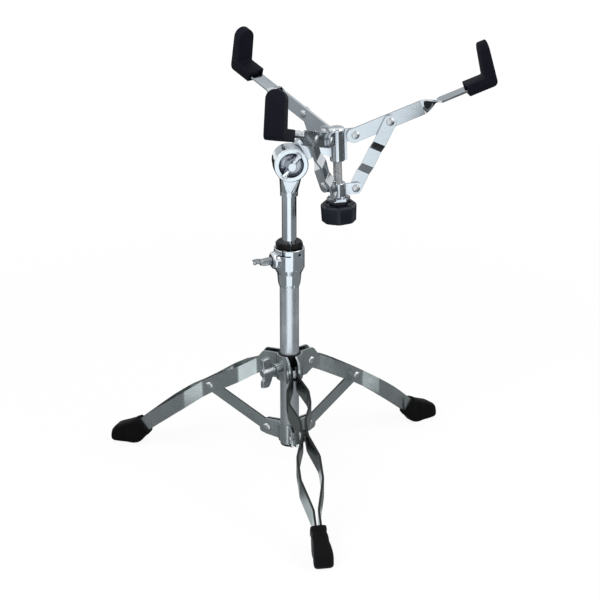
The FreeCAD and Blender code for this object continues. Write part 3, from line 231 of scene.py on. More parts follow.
class StandSizes(bpy.types.PropertyGroup):
    """Sizes of the modelled pieces."""

    grip_width: length_prop("Grip width", "Width of a grip across its arm", 0.025)
    grip_top: length_prop("Grip height", "Height of a grip's top over its arm", 0.052)
    grip_heel: length_prop("Grip heel", "Thickness of a grip at its heel", 0.0135)
    grip_tip: length_prop("Grip tip", "Thickness of a grip at its top", 0.0105)
    grip_round: length_prop("Grip round", "Radius of a grip's upper corners", 0.012)
    boot_width: length_prop("Foot width", "Width of a foot at its broadest place", 0.026)
    boot_mouth: length_prop("Foot mouth", "Width of a foot at its mouth", 0.015)
    boot_toe: length_prop("Foot toe", "Width of a foot at its toe", 0.020)
    boot_edge: length_prop("Foot edges", "Rounding of a foot's edges", 0.005)
    knob_radius: length_prop("Knob radius", "Radius over the corners of the knob", 0.0243)
    knob_height: length_prop("Knob height", "Height of the knob's body", 0.024)
    thread_pitch: length_prop("Thread pitch", "Pitch of the basket rod's thread", 0.0015)
    rivet_head: length_prop("Rivet head", "Radius of a rivet's head", 0.0052)
    wing_thick: length_prop("Wing thickness", "Thickness of the height bolt's wings", 0.0045)
    leg_wing_thick: length_prop("Leg wing thickness", "Thickness of the leg clamp's wings", 0.0085)
    tilter_wing_thick: length_prop("Tilter wing thickness", "Thickness of the tilter's wings", 0.0088)


class StandStudio(bpy.types.PropertyGroup):
    """Floor, light and camera."""

    lens: bpy.props.FloatProperty(
        name="Lens", description="Focal length of the camera", subtype="DISTANCE_CAMERA",
        min=20, max=300, default=96.0)
    camera_place: bpy.props.FloatVectorProperty(
        name="Camera place", description="Where the camera stands", subtype="TRANSLATION", unit="LENGTH",
        size=3, default=(-0.3047, -1.9240, 1.0360))
    camera_pitch: bpy.props.FloatProperty(
        name="Camera pitch", description="How far the camera looks down", subtype="ANGLE",
        default=math.radians(22.0))
    camera_heading: bpy.props.FloatProperty(
        name="Camera heading", description="Turn of the view to the right of the rear", subtype="ANGLE",
        default=math.radians(9.41))
    floor_size: length_prop("Floor size", "Side of the square floor", 14.0)
    key_power: power_prop("Key light", "Power of the large soft light", 34.0)
    fill_power: power_prop("Fill light", "Power of the soft light on the other side", 14.0)
    room_light: share_prop("Room light", "Strength of the even light from all round", 0.55)
    panel_reach: length_prop("Panel reach", "How far the panels reach from the stand", 3.0)
    panel_grey: share_prop("Side panels", "Grey of the panels that the chrome mirrors at its sides", 0.27)
    panel_white: bpy.props.FloatProperty(
        name="Front panel", description="Glow of the panel that the chrome mirrors in its middle",
        min=0, max=4, default=1.3)
    panel_pale: share_prop("Rear card", "Grey of the card behind the stand", 0.6)
    panel_black: share_prop("Back panels", "Grey of the panels that the chrome mirrors along its edges", 0.03)


def finishes():
    return bpy.context.scene.stand_finishes


def sizes():
    return bpy.context.scene.stand_sizes


def studio():
    return bpy.context.scene.stand_studio


def give(tree, node, *in_order, **by_name):
    """Gives a node's settings and its sockets, in order or by name, their values; sockets are linked."""
    pairs = list(zip(node.inputs, in_order))
    for name, value in by_name.items():
        if hasattr(node, name):
            setattr(node, name, value)
        else:
            pairs.append((node.inputs[name.replace("_", " ")], value))
    for socket, value in pairs:
        if isinstance(value, bpy.types.NodeSocket):
            tree.links.new(value, socket)
        else:
            socket.default_value = value
    return node


def add_node(tree, kind, *in_order, **by_name):
    return give(tree, tree.nodes.new("ShaderNode" + kind), *in_order, **by_name)


def calculate(tree, operation, *values):
    return add_node(tree, "Math", *values, operation=operation).outputs["Value"]


def measure(tree, operation, *vectors):
    """Number that a vector operation gives."""
    return add_node(tree, "VectorMath", *vectors, operation=operation).outputs["Value"]


def new_finish(name):
    """Material with its node tree and its Principled shader."""
    material = bpy.data.materials.new(name)
    material.use_nodes = True
    tree = material.node_tree
    return material, tree, tree.nodes["Principled BSDF"]


def object_place(tree, scale=(1.0, 1.0, 1.0), turn=0.0):
    """Object coordinates, turned about Z by turn degrees back to the piece's own length."""
    place = add_node(tree, "TexCoord").outputs["Object"]
    if turn:
        back = (0, 0, math.radians(-turn))
        place = add_node(tree, "Mapping", Vector=place, Rotation=back).outputs["Vector"]
    return add_node(tree, "Mapping", Vector=place, Scale=scale).outputs["Vector"]


def noise(tree, place, scale, detail=3.0, roughness=0.55):
    return add_node(tree, "TexNoise", Vector=place, Scale=scale, Detail=detail,
                    Roughness=roughness).outputs["Fac"]


def spread(tree, value, low, high, from_low=0.3, from_high=0.7):
    """Brings a pattern from one range to the range low to high."""
    return add_node(tree, "MapRange", value, from_low, from_high, low, high, clamp=True).outputs["Result"]


def bump(tree, height, strength, distance, **normal):
    return add_node(tree, "Bump", Strength=strength, Distance=distance, Height=height,
                    **normal).outputs["Normal"]


def soft_edges(tree, radius):
    """Normal with the piece's sharp edges rounded by radius."""
    return add_node(tree, "Bevel", samples=4, Radius=radius).outputs["Normal"]


def edge_wear_and_highlight(tree, radius, reach):
    """0 on flat faces, up to 1 on edges."""
    plain = add_node(tree, "NewGeometry").outputs["Normal"]
    alike = measure(tree, "DOT_PRODUCT", soft_edges(tree, radius), plain)
    return spread(tree, alike, 1.0, 0.0, 1.0 - reach, 1.0)


def shade(colour, share):
    return tuple(min(1.0, c * share) for c in colour)


def rgba(sockets):
    return [socket for socket in sockets if socket.type == "RGBA"]


def blend(tree, share, first, second):
    """Mix of two colours, each a socket or a plain colour, by a 0 to 1 socket."""
    made = add_node(tree, "Mix", data_type="RGBA", Factor=share)
    for socket, colour in zip(rgba(made.inputs), (first, second)):
        if isinstance(colour, tuple):
            socket.default_value = (*colour, 1)
        else:
            tree.links.new(colour, socket)
    return rgba(made.outputs)[0]


def mottle(tree, pattern, colour, dark, pale):
    """Colour that a pattern varies between its dark and its pale share."""
    return blend(tree, spread(tree, pattern, 0, 1), shade(colour, dark), shade(colour, pale))


def hollows(tree, distance):
    """1 in narrow hollows and corners, 0 on open faces."""
    made = add_node(tree, "AmbientOcclusion", samples=8, only_local=False, Distance=distance)
    return spread(tree, made.outputs["AO"], 1.0, 0.0, 0.35, 0.95)


def chrome_finish(name, stretch, turn=0.0, peel=0.02, share=1.0, roughness=None, painted_shade=0.0, dull=None):
    """Chrome plate: faint polishing lines, a little haze, softened edges, painted shade in its hollows, and
    plate darker and rougher below the heights in dull."""
    material, tree, shader = new_finish(name)
    lines = noise(tree, object_place(tree, stretch, turn), 1.0, 2.0)
    haze = noise(tree, object_place(tree), 38.0, 4.0)
    base = mottle(tree, haze, shade(finishes().chrome, share), 0.94, 1.05)
    # Painted shade: hollows and corners darkened towards the painted shade colour by ambient occlusion
    if painted_shade:
        dark = spread(tree, hollows(tree, 0.012), 0.0, painted_shade, 0.0, 1.0)
        base = blend(tree, dark, base, tuple(finishes().painted_shade))
    mean = roughness or finishes().chrome_roughness
    rough = calculate(tree, "MULTIPLY", spread(tree, lines, 0.8, 1.2),
                      spread(tree, haze, mean * 0.8, mean * 1.3))
    # Darker and rougher towards the bottom of the lower tube
    if dull:
        height = add_node(tree, "SeparateXYZ", object_place(tree)).outputs["Z"]
        low = spread(tree, height, 1.0, 0.0, *dull)
        base = blend(tree, low, base, shade(finishes().chrome, 0.5))
        rough = calculate(tree, "MULTIPLY_ADD", low, 0.25, rough)
    normal = bump(tree, lines, peel, 0.0006, Normal=soft_edges(tree, 0.0006))
    give(tree, shader, Base_Color=base, Roughness=rough, Normal=normal, Metallic=1.0)
    return material


def shaded_edges(tree, turn):
    """1 on the edges that the strip was sheared along, 0 on its rolled faces: where dark shade is painted."""
    normal = add_node(tree, "TexCoord").outputs["Normal"]
    across = measure(tree, "DOT_PRODUCT", normal, bearing(turn + 90.0))
    return spread(tree, calculate(tree, "ABSOLUTE", across), 1.0, 0.0, 0.3, 0.6)


def steel_finish(name, colour, turn=None, stretch=LEG_GRAIN):
    """Plated rolled steel: rolling lines, cloudy plate, and painted shade on its edge faces or in its
    hollows.
    """
    material, tree, shader = new_finish(name)
    lines = noise(tree, object_place(tree, stretch, turn or 0.0), 1.0, 3.0)
    base = mottle(tree, noise(tree, object_place(tree), 30.0, 3.0), colour, 0.9, 1.08)
    mean = finishes().steel_roughness
    if turn is None:
        # Painted shade: the plates' hollows and corners darkened towards the painted shade colour
        dark = spread(tree, hollows(tree, 0.015), 0.0, 0.7, 0.0, 1.0)
        base = blend(tree, dark, base, tuple(finishes().painted_shade))
    else:
        # Painted shade: the strip's edge faces darkened almost to black
        edge = spread(tree, shaded_edges(tree, turn), 0.0, 0.92, 0.0, 1.0)
        base = blend(tree, edge, base, shade(colour, 0.08))
    give(tree, shader, Base_Color=base, Roughness=spread(tree, lines, mean * 0.9, mean * 1.15),
         Normal=bump(tree, lines, 0.006, 0.0003), Metallic=1.0, Anisotropic=0.3)
    return material


def fastener_finish(name, share=1.0):
    """Turned and peened steel: tool marks and a duller plate."""
    material, tree, shader = new_finish(name)
    marks = noise(tree, object_place(tree), 900.0, 3.0)
    give(tree, shader, Base_Color=mottle(tree, marks, shade(finishes().fastener, share), 0.8, 1.1),
         Roughness=spread(tree, marks, 0.2, 0.34), Metallic=1.0,
         Normal=bump(tree, marks, 0.08, 0.0004, Normal=soft_edges(tree, 0.0005)))
    return material


def moulded_finish(name, colour, grain, roughness, edge_share, radius, gloss=0.08):
    """Moulded black rubber or nylon: fine skin, faint dust, and paler edges, partly wear and partly a painted
    highlight.
    """
    material, tree, shader = new_finish(name)
    skin = noise(tree, object_place(tree), grain, 4.0, 0.65)
    dust = noise(tree, object_place(tree), 26.0, 5.0, 0.6)
    # Paler edges: partly wear, partly a painted highlight
    wear_and_highlight = spread(tree, edge_wear_and_highlight(tree, radius, 0.3), 0, 0.8, 0, 1)
    base = blend(tree, wear_and_highlight, mottle(tree, dust, colour, 0.75, 1.35), shade(colour, edge_share))
    give(tree, shader, Base_Color=base, Roughness=spread(tree, skin, roughness - 0.1, roughness + 0.14),
         Normal=bump(tree, skin, 0.22, 0.0005, Normal=soft_edges(tree, radius)),
         Specular_IOR_Level=gloss, Sheen_Weight=0.01, Sheen_Roughness=0.5)
    return material


def brass_finish(name):
    """Turned brass with fine rings and a little tarnish."""
    material, tree, shader = new_finish(name)
    rings = noise(tree, object_place(tree, TURNED_GRAIN), 1.0, 2.0)
    tarnish = noise(tree, object_place(tree), 140.0, 4.0)
    give(tree, shader, Base_Color=mottle(tree, tarnish, finishes().brass, 0.7, 1.1),
         Roughness=spread(tree, rings, 0.2, 0.36), Normal=bump(tree, rings, 0.1, 0.0004), Metallic=1.0)
    return material


def fibre_finish(name):
    """Pressed fibre friction disc: short tangled fibres."""
    material, tree, shader = new_finish(name)
    fibres = noise(tree, object_place(tree, FIBRE_GRAIN), 1.0, 5.0, 0.7)
    give(tree, shader, Normal=bump(tree, fibres, 0.4, 0.0004), Roughness=spread(tree, fibres, 0.7, 0.9),
         Base_Color=blend(tree, spread(tree, fibres, 0, 1), (0.035, 0.033, 0.03), (0.11, 0.105, 0.1)))
    return material


def dress(material, *names):
    """Gives CAD nodes their finish."""
    for name in names:
        node = frame["nodes"][name]
        node.data.materials.clear()
        node.data.materials.append(material)


def turn_to(mode):
    bpy.ops.object.mode_set(mode=mode)


def apply_place():
    """Leaves the place, turn and scale of the selected pieces in their meshes."""
    bpy.ops.object.transform_apply(location=True, rotation=True, scale=True)


def clear_selection():
    if bpy.context.object and bpy.context.object.mode != "OBJECT":
        turn_to("OBJECT")
    bpy.ops.object.select_all(action="DESELECT")


def start(add, place=(0, 0, 0), scale=(1, 1, 1), turn=(0, 0, 0), **shape):
    """Adds a primitive at its size and place, alone in the selection, and opens it for modelling."""
    clear_selection()
    add(location=place, rotation=turn, scale=scale, **shape)
    apply_place()
    turn_to("EDIT")
    return bpy.context.object


def cylinder(sides, radius, foot, top, turn=0.0):
    """Opens a cylinder along Z from foot to top, turned about its axis."""
    return start(bpy.ops.mesh.primitive_cylinder_add, (0, 0, (foot + top) / 2), turn=(0, 0, turn),
                 vertices=sides, radius=radius, depth=top - foot)


def choose(piece, kind, test):
    """Selects only the faces, edges or vertices that pass the test."""
    bpy.ops.mesh.select_mode(type=kind)
    bpy.ops.mesh.select_all(action="DESELECT")
    mesh = bmesh.from_edit_mesh(piece.data)
    mesh.normal_update()
    for part in {"FACE": mesh.faces, "EDGE": mesh.edges, "VERT": mesh.verts}[kind]:
        if test(part):
            part.select_set(True)
    bmesh.update_edit_mesh(piece.data)


def choose_run(piece, direction):
    """Keeps only those of the selected edges that run along direction."""
    aim = Vector(direction)
    mesh = bmesh.from_edit_mesh(piece.data)
    for edge in mesh.edges:
        run = (edge.verts[1].co - edge.verts[0].co).normalized()
        if edge.select and abs(run.dot(aim)) < 0.5:
            edge.select_set(False)
    bmesh.update_edit_mesh(piece.data)


def facing(direction, where=lambda centre: True):
    """Test for faces that look along direction and whose centre passes where."""
    aim = Vector(direction)
    return lambda face: face.normal.dot(aim) > 0.9 and where(face.calc_center_median())


def level(face):
    """Test for faces that look up or down."""
    return abs(face.normal.z) > 0.9


def both_ends(where):
    """Test for edges whose two ends pass where."""
    return lambda edge: all(where(vert.co) for vert in edge.verts)


def sharper(degrees, where=lambda centre: True):
    """Test for edges bent by more than that angle, whose middle passes where."""
    def test(edge):
        middle = (edge.verts[0].co + edge.verts[1].co) / 2
        return len(edge.link_faces) == 2 and edge.calc_face_angle() > math.radians(degrees) and where(middle)
    return test


def slice_at(point, normal, **cut):
    """Flat cut through the whole piece."""
    bpy.ops.mesh.select_all(action="SELECT")
    bpy.ops.mesh.bisect(plane_co=point, plane_no=normal, **cut)


def bevel(offset, segments):
    bpy.ops.mesh.bevel(offset=offset, segments=segments, affect="EDGES")


def inset(thickness):
    bpy.ops.mesh.inset(thickness=thickness)


def bore(piece, test, wall):
    """Opens a hole between the two faces that pass the test, with a wall round it."""
    choose(piece, "FACE", test)
    inset(wall)
    bpy.ops.mesh.bridge_edge_loops()


def extrude(move):
    bpy.ops.mesh.extrude_region_move(TRANSFORM_OT_translate={"value": move})


def resize(value, centre):
    bpy.ops.transform.resize(value=value, center_override=centre)


def modify(piece, kind, **settings):
    """Adds a modifier and applies it."""
    turn_to("OBJECT")
    made = piece.modifiers.new(kind.lower(), kind)
    for name, value in settings.items():
        setattr(made, name, value)
    bpy.ops.object.modifier_apply(modifier=made.name)


def soften(piece, levels):
    modify(piece, "SUBSURF", levels=levels, render_levels=levels)


def round_edges(piece, width, segments, degrees):
    modify(piece, "BEVEL", width=width, segments=segments, limit_method="ANGLE",
           angle_limit=math.radians(degrees))


def close_up(piece, degrees):
    """Leaves modelling with merged doubles, outward normals and smooth shading between sharp edges."""
    if piece.mode != "EDIT":
        turn_to("EDIT")
    bpy.ops.mesh.select_all(action="SELECT")
    bpy.ops.mesh.remove_doubles(threshold=0.00001)
    bpy.ops.mesh.normals_make_consistent(inside=False)
    turn_to("OBJECT")
    bpy.ops.object.shade_smooth_by_angle(angle=math.radians(degrees))


def only(piece):
    clear_selection()
    piece.select_set(True)
    bpy.context.view_layer.objects.active = piece


def copied(piece):
    """Copy with its own mesh."""
    only(piece)
    bpy.ops.object.duplicate()
    return bpy.context.object


def joined(pieces):
    only(pieces[0])
    for piece in pieces[1:]:
        piece.select_set(True)
    if len(pieces) > 1:
        bpy.ops.object.join()
    return pieces[0]


def settle(piece, place):
    """Brings a piece to its place and leaves the place in its mesh."""
    only(piece)
    piece.matrix_world = place
    apply_place()
    return piece


def fit(piece, name, body, slot, material, *nodes):
    """Names a finished piece, gives it its finish and fixes it to its body in place of its CAD nodes."""
    piece.name = name
    piece.data.name = name
    piece.data.materials.clear()
    piece.data.materials.append(material)
    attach(piece, body)
    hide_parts(*nodes)


def fit_rubber(pattern, kind, limb, places, rubber):
    """Copies a rubber piece to the end of each arm or leg."""
    for name, place in places.items():
        node = "%s_%s" % (kind, name)
        fit(settle(copied(pattern), place), node + "_rubber", limb + name, "black_rubber", rubber, node)
    bpy.data.objects.remove(pattern)


def axes(origin, z, y):
    """Frame at origin with its Z along z and its Y near y."""
    up = Vector(z).normalized()
    across = Vector(y).cross(up).normalized()
    turn = Matrix((across, up.cross(across), up)).transposed().to_4x4()
    turn.translation = Vector(origin)
    return turn


def bearing(degrees):
    """Level direction at a bearing from X."""
    return Vector((math.cos(math.radians(degrees)), math.sin(math.radians(degrees)), 0.0))


def turned_along(aim, axis):
    """Turn that brings an axis to aim."""
    return aim.to_track_quat(axis, "Y").to_euler()


def leg_frame(name):
    return Matrix.Rotation(math.radians(LEG_TURN[name]), 4, "Z")


def basket_frame():
    """On the basket's axis at the level of the arm pivots, with X towards the right arm."""
    pivots = [Vector(JOINTS["arm_%s_swing" % name]["pos_m"]) for name in ARM_TURN]
    centre = sum(pivots, Vector()) / len(pivots)
    up = Vector(JOINTS["basket_slide"]["axis"])
    return axes(centre, up, up.cross(pivots[0] - centre))


def arm_side(name):
    """The basket's frame turned so that X points along one arm's bearing."""
    return basket_frame() @ Matrix.Rotation(math.radians(ARM_TURN[name]), 4, "Z")


def arm_frame(name):
    """At an arm's pivot, with X along the arm."""
    rise = Matrix.Rotation(-ARM_RISE, 4, "Y")
    return arm_side(name) @ spot(ARM_PIVOT) @ rise


def spot(along, height=0.0):
    """Place in the upright plane of an arm or a leg."""
    return Matrix.Translation((along, 0, height))


def model_grip():
    """Rubber grip: a sleeve on the arm's end with an upright pad, drawn along the arm."""
    size = sizes()
    low, high = -GRIP_UNDER, GRIP_OVER
    heel_in = GRIP_HEEL - size.grip_heel
    lean = GRIP_LEAN * (high - low) / (size.grip_top - low)
    piece = start(
        bpy.ops.mesh.primitive_cube_add, size=1.0,
        place=((GRIP_START + GRIP_HEEL) / 2, GRIP_MIDDLE, (low + high) / 2),
        scale=(GRIP_HEEL - GRIP_START, size.grip_width, high - low))
    slice_at((heel_in, 0, 0), (1, 0, 0))
    choose(piece, "VERT", lambda v: v.co.x > GRIP_HEEL - TINY and v.co.z > high - TINY)
    bpy.ops.transform.translate(value=(lean, 0, 0))
    choose(piece, "FACE", facing((0, 0, 1), lambda c: c.x > heel_in))
    extrude((GRIP_LEAN - lean, 0, size.grip_top - high))
    choose(piece, "FACE", facing((0, 0, 1), lambda c: c.z > size.grip_top - TINY))
    resize((size.grip_tip / size.grip_heel, 1, 1), (GRIP_HEEL + GRIP_LEAN, GRIP_MIDDLE, size.grip_top))
    choose(piece, "FACE", facing((-1, 0, 0), lambda c: c.x < GRIP_START + TINY))
    inset(GRIP_WALL)
    extrude((GRIP_MOUTH, 0, 0))
    side = size.grip_width / 2 - TINY
    choose(piece, "EDGE", both_ends(lambda p: p.z > size.grip_top - TINY and abs(p.y - GRIP_MIDDLE) > side))
    choose_run(piece, (1, 0, 0))
    bevel(size.grip_round, 8)
    choose(piece, "EDGE", both_ends(lambda p: p.x > GRIP_HEEL - TINY and p.z < low + TINY))
    bevel(GRIP_HEEL_ROUND, 5)
    round_edges(piece, GRIP_SOFT, 3, 35)
    close_up(piece, 40)
    return piece


def model_foot():
    """Rubber boot carved from a block by flat cuts, with a lip round its mouth and grooved sides."""
    size = sizes()
    leg = Vector((math.cos(FOOT_SLOPE), 0, -math.sin(FOOT_SLOPE)))
    mouth = Vector((FOOT_MOUTH, 0, FOOT_MOUTH_Z))
    over = mouth + Vector((leg.z, 0, -leg.x)) * -FOOT_HALF_H
    under = mouth + Vector((leg.z, 0, -leg.x)) * FOOT_HALF_H
    heel = Vector((under.x + FOOT_HEEL_SET, 0, 0))
    toe = Vector((FOOT_TOE, 0, 0))
    cap = Vector((FOOT_TOE - FOOT_RAKE, 0, FOOT_TOE_H))
    piece = start(
        bpy.ops.mesh.primitive_cube_add, size=1.0,
        place=((FOOT_TOE + under.x) / 2, 0, over.z / 2),
        scale=(FOOT_TOE - under.x + FOOT_HEEL_SET, size.boot_width, over.z))
    saw = dict(use_fill=True, clear_outer=True)
    slice_at(mouth, -leg, **saw)
    for a, b in ((over, cap), (cap, toe), (heel, under)):
        run = b - a
        slice_at(a, (-run.z, 0, run.x), **saw)
    broad = FOOT_TOE - (FOOT_TOE - FOOT_MOUTH) / 3
    below_mouth = sharper(FOOT_SHARP, lambda c: (c - mouth).dot(leg) > TINY)
    for side in (1, -1):
        plan = [Vector((x, side * width / 2, 0)) for x, width in
                ((under.x, size.boot_mouth), (broad, size.boot_width), (FOOT_TOE, size.boot_toe))]
        for a, b in zip(plan, plan[1:]):
            run = b - a
            slice_at(a, (-run.y * side, run.x * side, 0), **saw)
    choose(piece, "EDGE", below_mouth)
    choose_run(piece, (0, 1, 0))
    bevel(FOOT_ROUND, 5)
    choose(piece, "EDGE", below_mouth)
    bevel(size.boot_edge, 4)
    grooves = [under.x + (broad - under.x) * share for share in FOOT_GROOVES]
    for x in grooves:
        for step in (-FOOT_RIDGE, 0.0, FOOT_RIDGE):
            slice_at((x + step, 0, 0), (1, 0, 0))
        choose(piece, "VERT", lambda v: abs(v.co.x - x) < TINY)
        resize((1, 1 - 2 * FOOT_GROOVE_D / size.boot_width, 1), (x, 0, 0))
    slice_at(mouth + leg * FOOT_LIP, leg)
    choose(piece, "FACE", lambda f: (f.calc_center_median() - mouth).dot(leg) < FOOT_LIP
           and f.normal.dot(leg) > -0.9)
    bpy.ops.mesh.extrude_region_shrink_fatten(TRANSFORM_OT_shrink_fatten={"value": FOOT_LIP_T})
    round_edges(piece, FOOT_SOFT, 2, 45)
    soften(piece, 1)
    close_up(piece, 60)
    return piece


def model_knob():
    """Eight-sided knob with soft corners, dished at both ends, on a round neck with a bore."""
    size = sizes()
    shoulder = KNOB_TOP - KNOB_NECK_H
    foot = shoulder - size.knob_height
    flat = size.knob_radius * math.cos(math.pi / 8)
    rim = flat - KNOB_RIM / 2
    piece = cylinder(8, size.knob_radius, foot, shoulder, math.radians(KNOB_TURN))
    choose(piece, "FACE", facing((0, 0, -1)))
    resize((KNOB_DRAFT, KNOB_DRAFT, 1), (0, 0, foot))
    for side in (1, -1):
        choose(piece, "FACE", facing((0, 0, side)))
        inset(KNOB_RIM)
        extrude((0, 0, -side * KNOB_DISH))
    bore(piece, lambda f: level(f) and f.calc_center_median().xy.length < TINY, KNOB_FLOOR)
    choose(piece, "EDGE", both_ends(lambda p: p.xy.length > flat * KNOB_DRAFT))
    choose_run(piece, (0, 0, 1))
    bevel(KNOB_CORNER, 5)
    choose(piece, "EDGE", sharper(40, lambda c: c.z > shoulder - TINY and c.xy.length > rim))
    bevel(KNOB_SHOULDER, 5)
    round_edges(piece, KNOB_SOFT, 3, 40)
    close_up(piece, 35)
    neck = cylinder(40, KNOB_NECK, foot, KNOB_TOP)
    bore(neck, level, KNOB_NECK - KNOB_BORE)
    round_edges(neck, KNOB_SOFT, 2, 40)
    close_up(neck, 35)
    return joined([piece, neck])


def model_rod():
    """Threaded rod: a core with bevelled ends and one helical thread."""
    pitch = sizes().thread_pitch
    depth = pitch * THREAD_DEPTH
    core = cylinder(32, ROD_R - depth, ROD_FOOT, ROD_TOP)
    choose(core, "EDGE", sharper(60))
    bevel(depth, 1)
    close_up(core, 30)
    ridge = start(
        bpy.ops.mesh.primitive_circle_add, vertices=3, radius=pitch / math.sqrt(3),
        turn=(math.pi / 2, 0, 0))
    tip = max(vert.co.x for vert in bmesh.from_edit_mesh(ridge.data).verts)
    choose(ridge, "VERT", lambda v: True)
    bpy.ops.transform.translate(value=(ROD_R - tip, 0, ROD_FOOT + pitch))
    choose(ridge, "EDGE", lambda e: abs(e.verts[0].co.x - e.verts[1].co.x) < TINY)
    bpy.ops.mesh.delete(type="EDGE_FACE")
    choose(ridge, "VERT", lambda v: v.co.x < ROD_R - TINY)
    low = min(vert.co.x for vert in bmesh.from_edit_mesh(ridge.data).verts)
    bpy.ops.transform.translate(value=(ROD_R - depth - TINY - low, 0, 0))
    turns = int((ROD_TOP - ROD_FOOT) / pitch) - 2
    modify(ridge, "SCREW", axis="Z", screw_offset=pitch, iterations=turns, steps=24, render_steps=24,
           use_merge_vertices=False)
    close_up(ridge, 30)
    return joined([core, ridge])


def model_rivet(t0, t1):
    """Rivet along Y with two domed heads that bear on y = t0 and y = t1."""
    grow = sizes().rivet_head / RIVET_R
    piece = start(
        bpy.ops.mesh.primitive_cylinder_add, vertices=28, radius=RIVET_R, depth=t1 - t0,
        place=(0, (t0 + t1) / 2, 0), turn=(math.pi / 2, 0, 0))
    for side, seat in ((-1, t0), (1, t1)):
        choose(piece, "FACE", facing((0, side, 0), lambda c: side * (c.y - seat) > -TINY))
        extrude((0, 0, 0))
        resize((grow, 1, grow), (0, seat, 0))
        for rise, share in RIVET_DOME:
            extrude((0, side * rise, 0))
            resize((share, 1, share), (0, seat, 0))
    close_up(piece, 42)
    return piece


def model_wing_bolt(thick, hub_r, hub_l, span, root, tip, flare):
    """Cast wing bolt's head along Z from 0: a tapered hub with two wings along Y."""
    piece = cylinder(8, hub_r * WING_SWELL, 0.0, hub_l, math.pi / 8)
    choose(piece, "FACE", facing((0, 0, 1)))
    resize((WING_TAPER, WING_TAPER, 1), (0, 0, hub_l))
    middle = hub_l / 2
    for z in (middle - root * WING_ROOT, middle + root * WING_ROOT):
        slice_at((0, 0, z), (0, 0, 1))
    for side in (1, -1):
        choose(piece, "FACE", facing((0, side, 0), lambda c: abs(c.z - middle) < root * WING_ROOT / 2))
        y = hub_r
        z = middle
        for reach, width, share in WING_STEPS:
            step = hub_r + (span / 2 - hub_r) * reach - y
            rise = flare * reach - (z - middle)
            extrude((0, side * step, rise))
            y += step
            z += rise
            mesh = bmesh.from_edit_mesh(piece.data)
            tall = [v.co.z for v in mesh.verts if v.select]
            deep = [abs(v.co.x) for v in mesh.verts if v.select]
            wanted = tip + (root - tip) * width
            resize((thick / 2 * share / max(deep), 1, wanted / (max(tall) - min(tall))), (0, side * y, z))
    for direction in ((0, 0, 1), (0, 0, -1)):
        choose(piece, "FACE", facing(direction, lambda c: abs(c.z - middle) > hub_l / 2 - TINY))
        inset(hub_r / 6)
    soften(piece, 2)
    close_up(piece, 50)
    return piece


def model_shank(radius, foot, top):
    """Bolt shank along Z with a bevelled end at its foot."""
    piece = cylinder(28, radius, foot, top)
    choose(piece, "EDGE", both_ends(lambda p: p.z < foot + TINY))
    bevel(radius / 5, 1)
    close_up(piece, 30)
    return piece


def model_ball_tip(foot, top):
    """Slim stem along Z that ends in a ball."""
    stem = cylinder(16, BALL_R / 2, foot, top)
    choose(stem, "EDGE", both_ends(lambda p: p.z < foot + TINY))
    resize((BALL_FOOT, BALL_FOOT, 1), (0, 0, foot))
    close_up(stem, 40)
    ball = start(bpy.ops.mesh.primitive_uv_sphere_add, (0, 0, top), segments=24, ring_count=16, radius=BALL_R)
    choose(ball, "VERT", lambda v: v.co.z > top + BALL_R * BALL_CAP)
    resize((1, 1, 0), (0, 0, top + BALL_R * BALL_CAP))
    close_up(ball, 40)
    return joined([stem, ball])


def model_nut():
    """Hexagon nut along Z from 0 with bevelled corners and a bore."""
    piece = cylinder(6, NUT_ACROSS / math.sqrt(3), 0.0, NUT_T)
    bore(piece, level, NUT_ACROSS / 2 - NUT_BORE)
    round_edges(piece, NUT_SOFT, 3, 40)
    close_up(piece, 35)
    return piece


def model_screw():
    """Pan-headed screw along X from 0, with a cross recess in its head."""
    head = start(
        bpy.ops.mesh.primitive_cylinder_add, vertices=32, radius=SCREW_HEAD_R, depth=SCREW_HEAD_T,
        place=(SCREW_HEAD_T / 2, 0, 0), turn=(0, math.pi / 2, 0))
    choose(head, "EDGE", both_ends(lambda p: p.x > SCREW_HEAD_T - TINY))
    bevel(SCREW_HEAD_T / 2, 5)
    close_up(head, 40)
    cutters = []
    for turn in (0, math.pi / 2):
        blade = start(
            bpy.ops.mesh.primitive_cube_add, size=1.0, place=(SCREW_HEAD_T, 0, 0),
            scale=(SCREW_HEAD_T, SCREW_HEAD_R, SCREW_HEAD_R * SCREW_SLOT), turn=(turn, 0, 0))
        choose(blade, "FACE", facing((-1, 0, 0)))
        resize((1, SCREW_SLOT_TAPER, SCREW_SLOT_TAPER), (SCREW_HEAD_T / 2, 0, 0))
        turn_to("OBJECT")
        cutters.append(blade)
    cross = joined(cutters)
    only(head)
    modify(head, "BOOLEAN", operation="DIFFERENCE", object=cross, use_self=True)
    bpy.data.objects.remove(cross)
    close_up(head, 35)
    return head


class StandOperator(bpy.types.Operator):
    """Shared settings of the stand's operators."""

    bl_options = {"REGISTER", "UNDO"}


class STAND_OT_tubes(StandOperator):
    """Chrome the two tubes of the column."""

    bl_idname = "stand.tubes"
    bl_label = "Tubes"

    def execute(self, context):
        dress(chrome_finish("tube_chrome", DRAWN_GRAIN, roughness=0.12), "upper_tube")
        lower = chrome_finish("lower_tube_chrome", DRAWN_GRAIN, share=0.92, roughness=0.34, dull=DULL_HEIGHTS)
        dress(lower, "lower_tube")
        return {"FINISHED"}


class STAND_OT_castings(StandOperator):
    """Chrome the cast pieces: height collar, tilter, basket bracket, hub and slide collar."""

    bl_idname = "stand.castings"
    bl_label = "Castings"

    def execute(self, context):
        # Castings and turned pieces get painted shade in their hollows
        dress(chrome_finish("cast_chrome", CAST_GRAIN, peel=0.04, share=0.95, painted_shade=0.85),
              "height_collar", "tilter_yoke", "basket_bracket")
        dress(chrome_finish("turned_chrome", CAST_GRAIN, peel=0.03, share=0.95, painted_shade=0.8),
              "basket_hub", "slide_collar")
        return {"FINISHED"}


